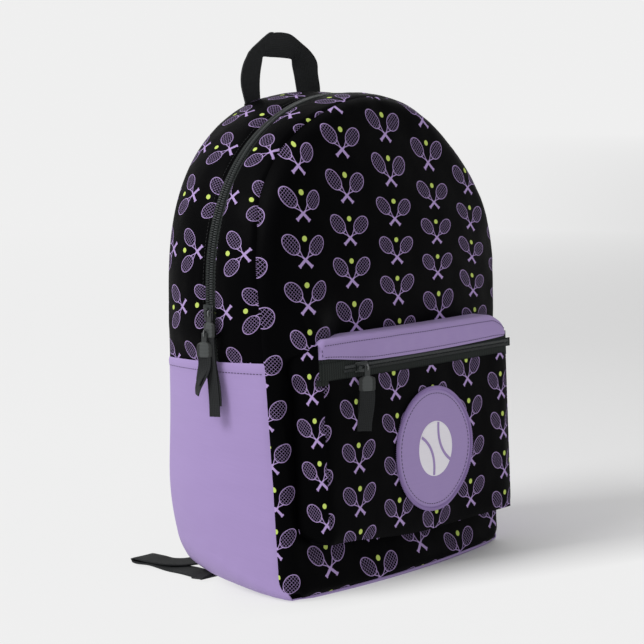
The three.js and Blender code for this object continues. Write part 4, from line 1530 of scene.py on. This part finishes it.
def lower_webbing(side, sign):
    """Slack webbing: out of the corner seam, along the floor, folded back, and up to the lock."""
    floor = 1.5
    points = [(138, 38, floor + 0.6), (136, 66, floor + 0.8), (135, 86, floor + 0.2),
              (136, 108, floor + 2.0), (138, 122, floor + 1.6), (138, 127, floor + 2.0),
              (138, 129, floor + 3.2), (137.6, 127, floor + 4.6), (136, 112, floor + 4.6),
              (130, 97, floor + 3.0), (117, 86, floor + 2.6), (104, 80, floor + 5.0),
              (95, 79.5, 18), (90, 80.5, 38), (89, 80.6, 66),
              (92, 80.4, 105), (97, 80.4, 146), (97, 81, 162)]
    # the band's turn about Z at each point, in degrees
    turns = [0, 0, 0, 0, 0, 0, 0, 0, 0, 30, 50, 50, 34, 12, 0, 0, 0, 0]
    route = np.array(points, float) * np.array([sign, 1, 1])
    angle = np.radians(np.array(turns, float))
    across = np.stack([sign * np.cos(angle), -np.sin(angle), 0 * angle], 1)
    band = strap(f"lower_webbing_{side}", route, across, STRAP_WIDTH, 1.8, WEBBING, 150)
    bend(band, f"strap_{side}", "webbing", f"lower_webbing_{side}",
         start=(0, 0.085, 0.03), end=(0, 0.08, 0.135))
    corner = [(sign * 139, 34, 7.0), (sign * 138, 42, 5.4), (sign * 137, 50, 4.4)]
    anchor = strap(f"strap_anchor_{side}", corner, (1, 0, -0.25 * sign), 27, 1.6, BLACK_CLOTH, 12)
    keep(anchor, "root", "black_fabric", f"strap_anchor_{side}")


def yoke():
    """The reinforcement that covers the tops of both straps, with two rows of stitching."""
    def surface(u, v):
        x = mix(-84, 84, u)
        z = mix(382, np.minimum(413, arch_top(section(1), x) - 6), v)
        over_pad = np.exp(-((np.abs(x) - 52) / 24) ** 4) * (1 - ease((z - 386) / 16))
        rim = ease(np.minimum(np.minimum(v, 1 - v) * 26, np.minimum(u, 1 - u) * 172) / 2)
        return np.stack([x, 75.6 + over_pad * 9.0 + rim * 1.3, z], -1)
    piece = shell("strap_yoke", surface, 120, 30, 1.2, [BLACK_CLOTH], plain_xz, into=(0, -1, 0))
    keep(piece, "root", "black_fabric", "strap_yoke")
    u = np.linspace(0.02, 0.98, 200)
    rows = [stitches(f"row{v}", surface(u, 0 * u + v), (0, 1, 0), BLACK_THREAD) for v in (0.12, 0.88)]
    keep(joined("yoke_stitching", rows), "root", "black_fabric")


# ------------------------------------------------------------------ stage, lights, camera

AHEAD_X, AHEAD_Y = 0.76, 0.65  # the camera's level view direction
PAPER = 0.865


def stage():
    size = 30.0
    mesh = bpy.data.meshes.new("floor")
    corners = [(-size, -size, 0), (size, -size, 0), (size, size, 0), (-size, size, 0)]
    mesh.from_pydata(corners, [], [(0, 1, 2, 3)])
    floor = bpy.data.objects.new("floor", mesh)
    bpy.context.scene.collection.objects.link(floor)
    material, tree, shader = new_material("floor_paper", 0.9, 0.1)
    shader.inputs["Base Color"].default_value = (0.8, 0.8, 0.8, 1)
    place = tree.nodes.new("ShaderNodeTexCoord")
    length = tree.nodes.new("ShaderNodeVectorMath")
    length.operation = "LENGTH"
    tree.links.new(place.outputs["Object"], length.inputs[0])
    x, y = split_xy(tree, place.outputs["Object"])
    ahead, right = x * AHEAD_X + y * AHEAD_Y, x * AHEAD_Y - y * AHEAD_X
    far = ((Field(tree, length.outputs["Value"]) - 1.6) / 3.0).share()
    left = (right * -8.0).most(0.0).least(0.93)
    front = ((y * -1.0 - x * 0.35 - 0.066) / 0.10).most(0.0).least(0.97)
    # the floor glows evenly as paper to the left, in front and far off, in place of its lit shading,
    # which takes out the shadow there
    glow_share = (far * -1.0 + 1.0) * (left * -1.0 + 1.0) * (front * -1.0 + 1.0) * -1.0 + 1.0
    # painted shadow: the glow is dimmed towards the right of the view, carrying the bag's shadow out
    # over the far floor
    painted_shadow = ((right / (ahead + 1.69).most(0.5) - 0.05) / 0.12).share()
    fading = ((ahead - 5.0) / -20.0 + 1.0).share()
    paper = tree.nodes.new("ShaderNodeEmission")
    level = painted_shadow * fading * (front * -1.0 + 1.0) * -0.10 + PAPER
    tree.links.new(level.socket, paper.inputs["Strength"])
    both = tree.nodes.new("ShaderNodeMixShader")
    tree.links.new(glow_share.socket, both.inputs[0])
    tree.links.new(shader.outputs[0], both.inputs[1])
    tree.links.new(paper.outputs[0], both.inputs[2])
    tree.links.new(both.outputs[0], tree.nodes["Material Output"].inputs[0])
    mesh.materials.append(material)


def studio_light():
    """A pale studio: brighter from the left, dimmer in front, even behind the bag."""
    world = bpy.data.worlds.new("studio")
    bpy.context.scene.world = world
    world.use_nodes = True
    tree = world.node_tree
    place = tree.nodes.new("ShaderNodeTexCoord")
    x, y = split_xy(tree, place.outputs["Generated"])
    light = y * 0.05 + 0.655 - x * 0.06
    behind = ((x * AHEAD_X + y * AHEAD_Y - 0.45) / 0.3).share()
    level = light + behind * (light * -1.0 + PAPER)
    tree.links.new(level.socket, tree.nodes["Background"].inputs["Strength"])
    tree.nodes["Background"].inputs["Color"].default_value = (1, 1, 1, 1)


def area_light(name, place, aim, size, power):
    light = bpy.data.lights.new(name, "AREA")
    light.size, light.energy = size, power
    obj = bpy.data.objects.new(name, light)
    obj.location = place
    obj.rotation_euler = (Vector(aim) - Vector(place)).to_track_quat("-Z", "Y").to_euler()
    bpy.context.scene.collection.objects.link(obj)


def camera():
    azimuth, pitch, lens = math.radians(-49.45), math.radians(6.76), 102.4
    data = bpy.data.cameras.new("camera")
    data.lens, data.sensor_width = lens, 36.0
    data.clip_end = 100
    obj = bpy.data.objects.new("camera", data)
    obj.location = (-1.2944, -1.0823, 0.4229)
    level = math.cos(pitch)
    looking = Vector((-math.sin(azimuth) * level, math.cos(azimuth) * level, -math.sin(pitch)))
    obj.rotation_euler = looking.to_track_quat("-Z", "Y").to_euler()
    bpy.context.scene.collection.objects.link(obj)
    bpy.context.scene.camera = obj


camera()
stage()
studio_light()
area_light("key", (-2.26, 0.74, 2.35), (0, 0, 0.2), 1.3, 60)
bpy.context.scene.view_settings.view_transform = "Standard"

front_panel()
gussets()
main_zip()
lower_wrap()
pocket()
pocket_lid()
pocket_zip()
patch()
main_sliders()
pocket_slider()
handle()
back()
sleeve()
yoke()
for side_name, side_sign in (("left", -1), ("right", 1)):
    shoulder_strap(side_name, side_sign)
    lower_webbing(side_name, side_sign)
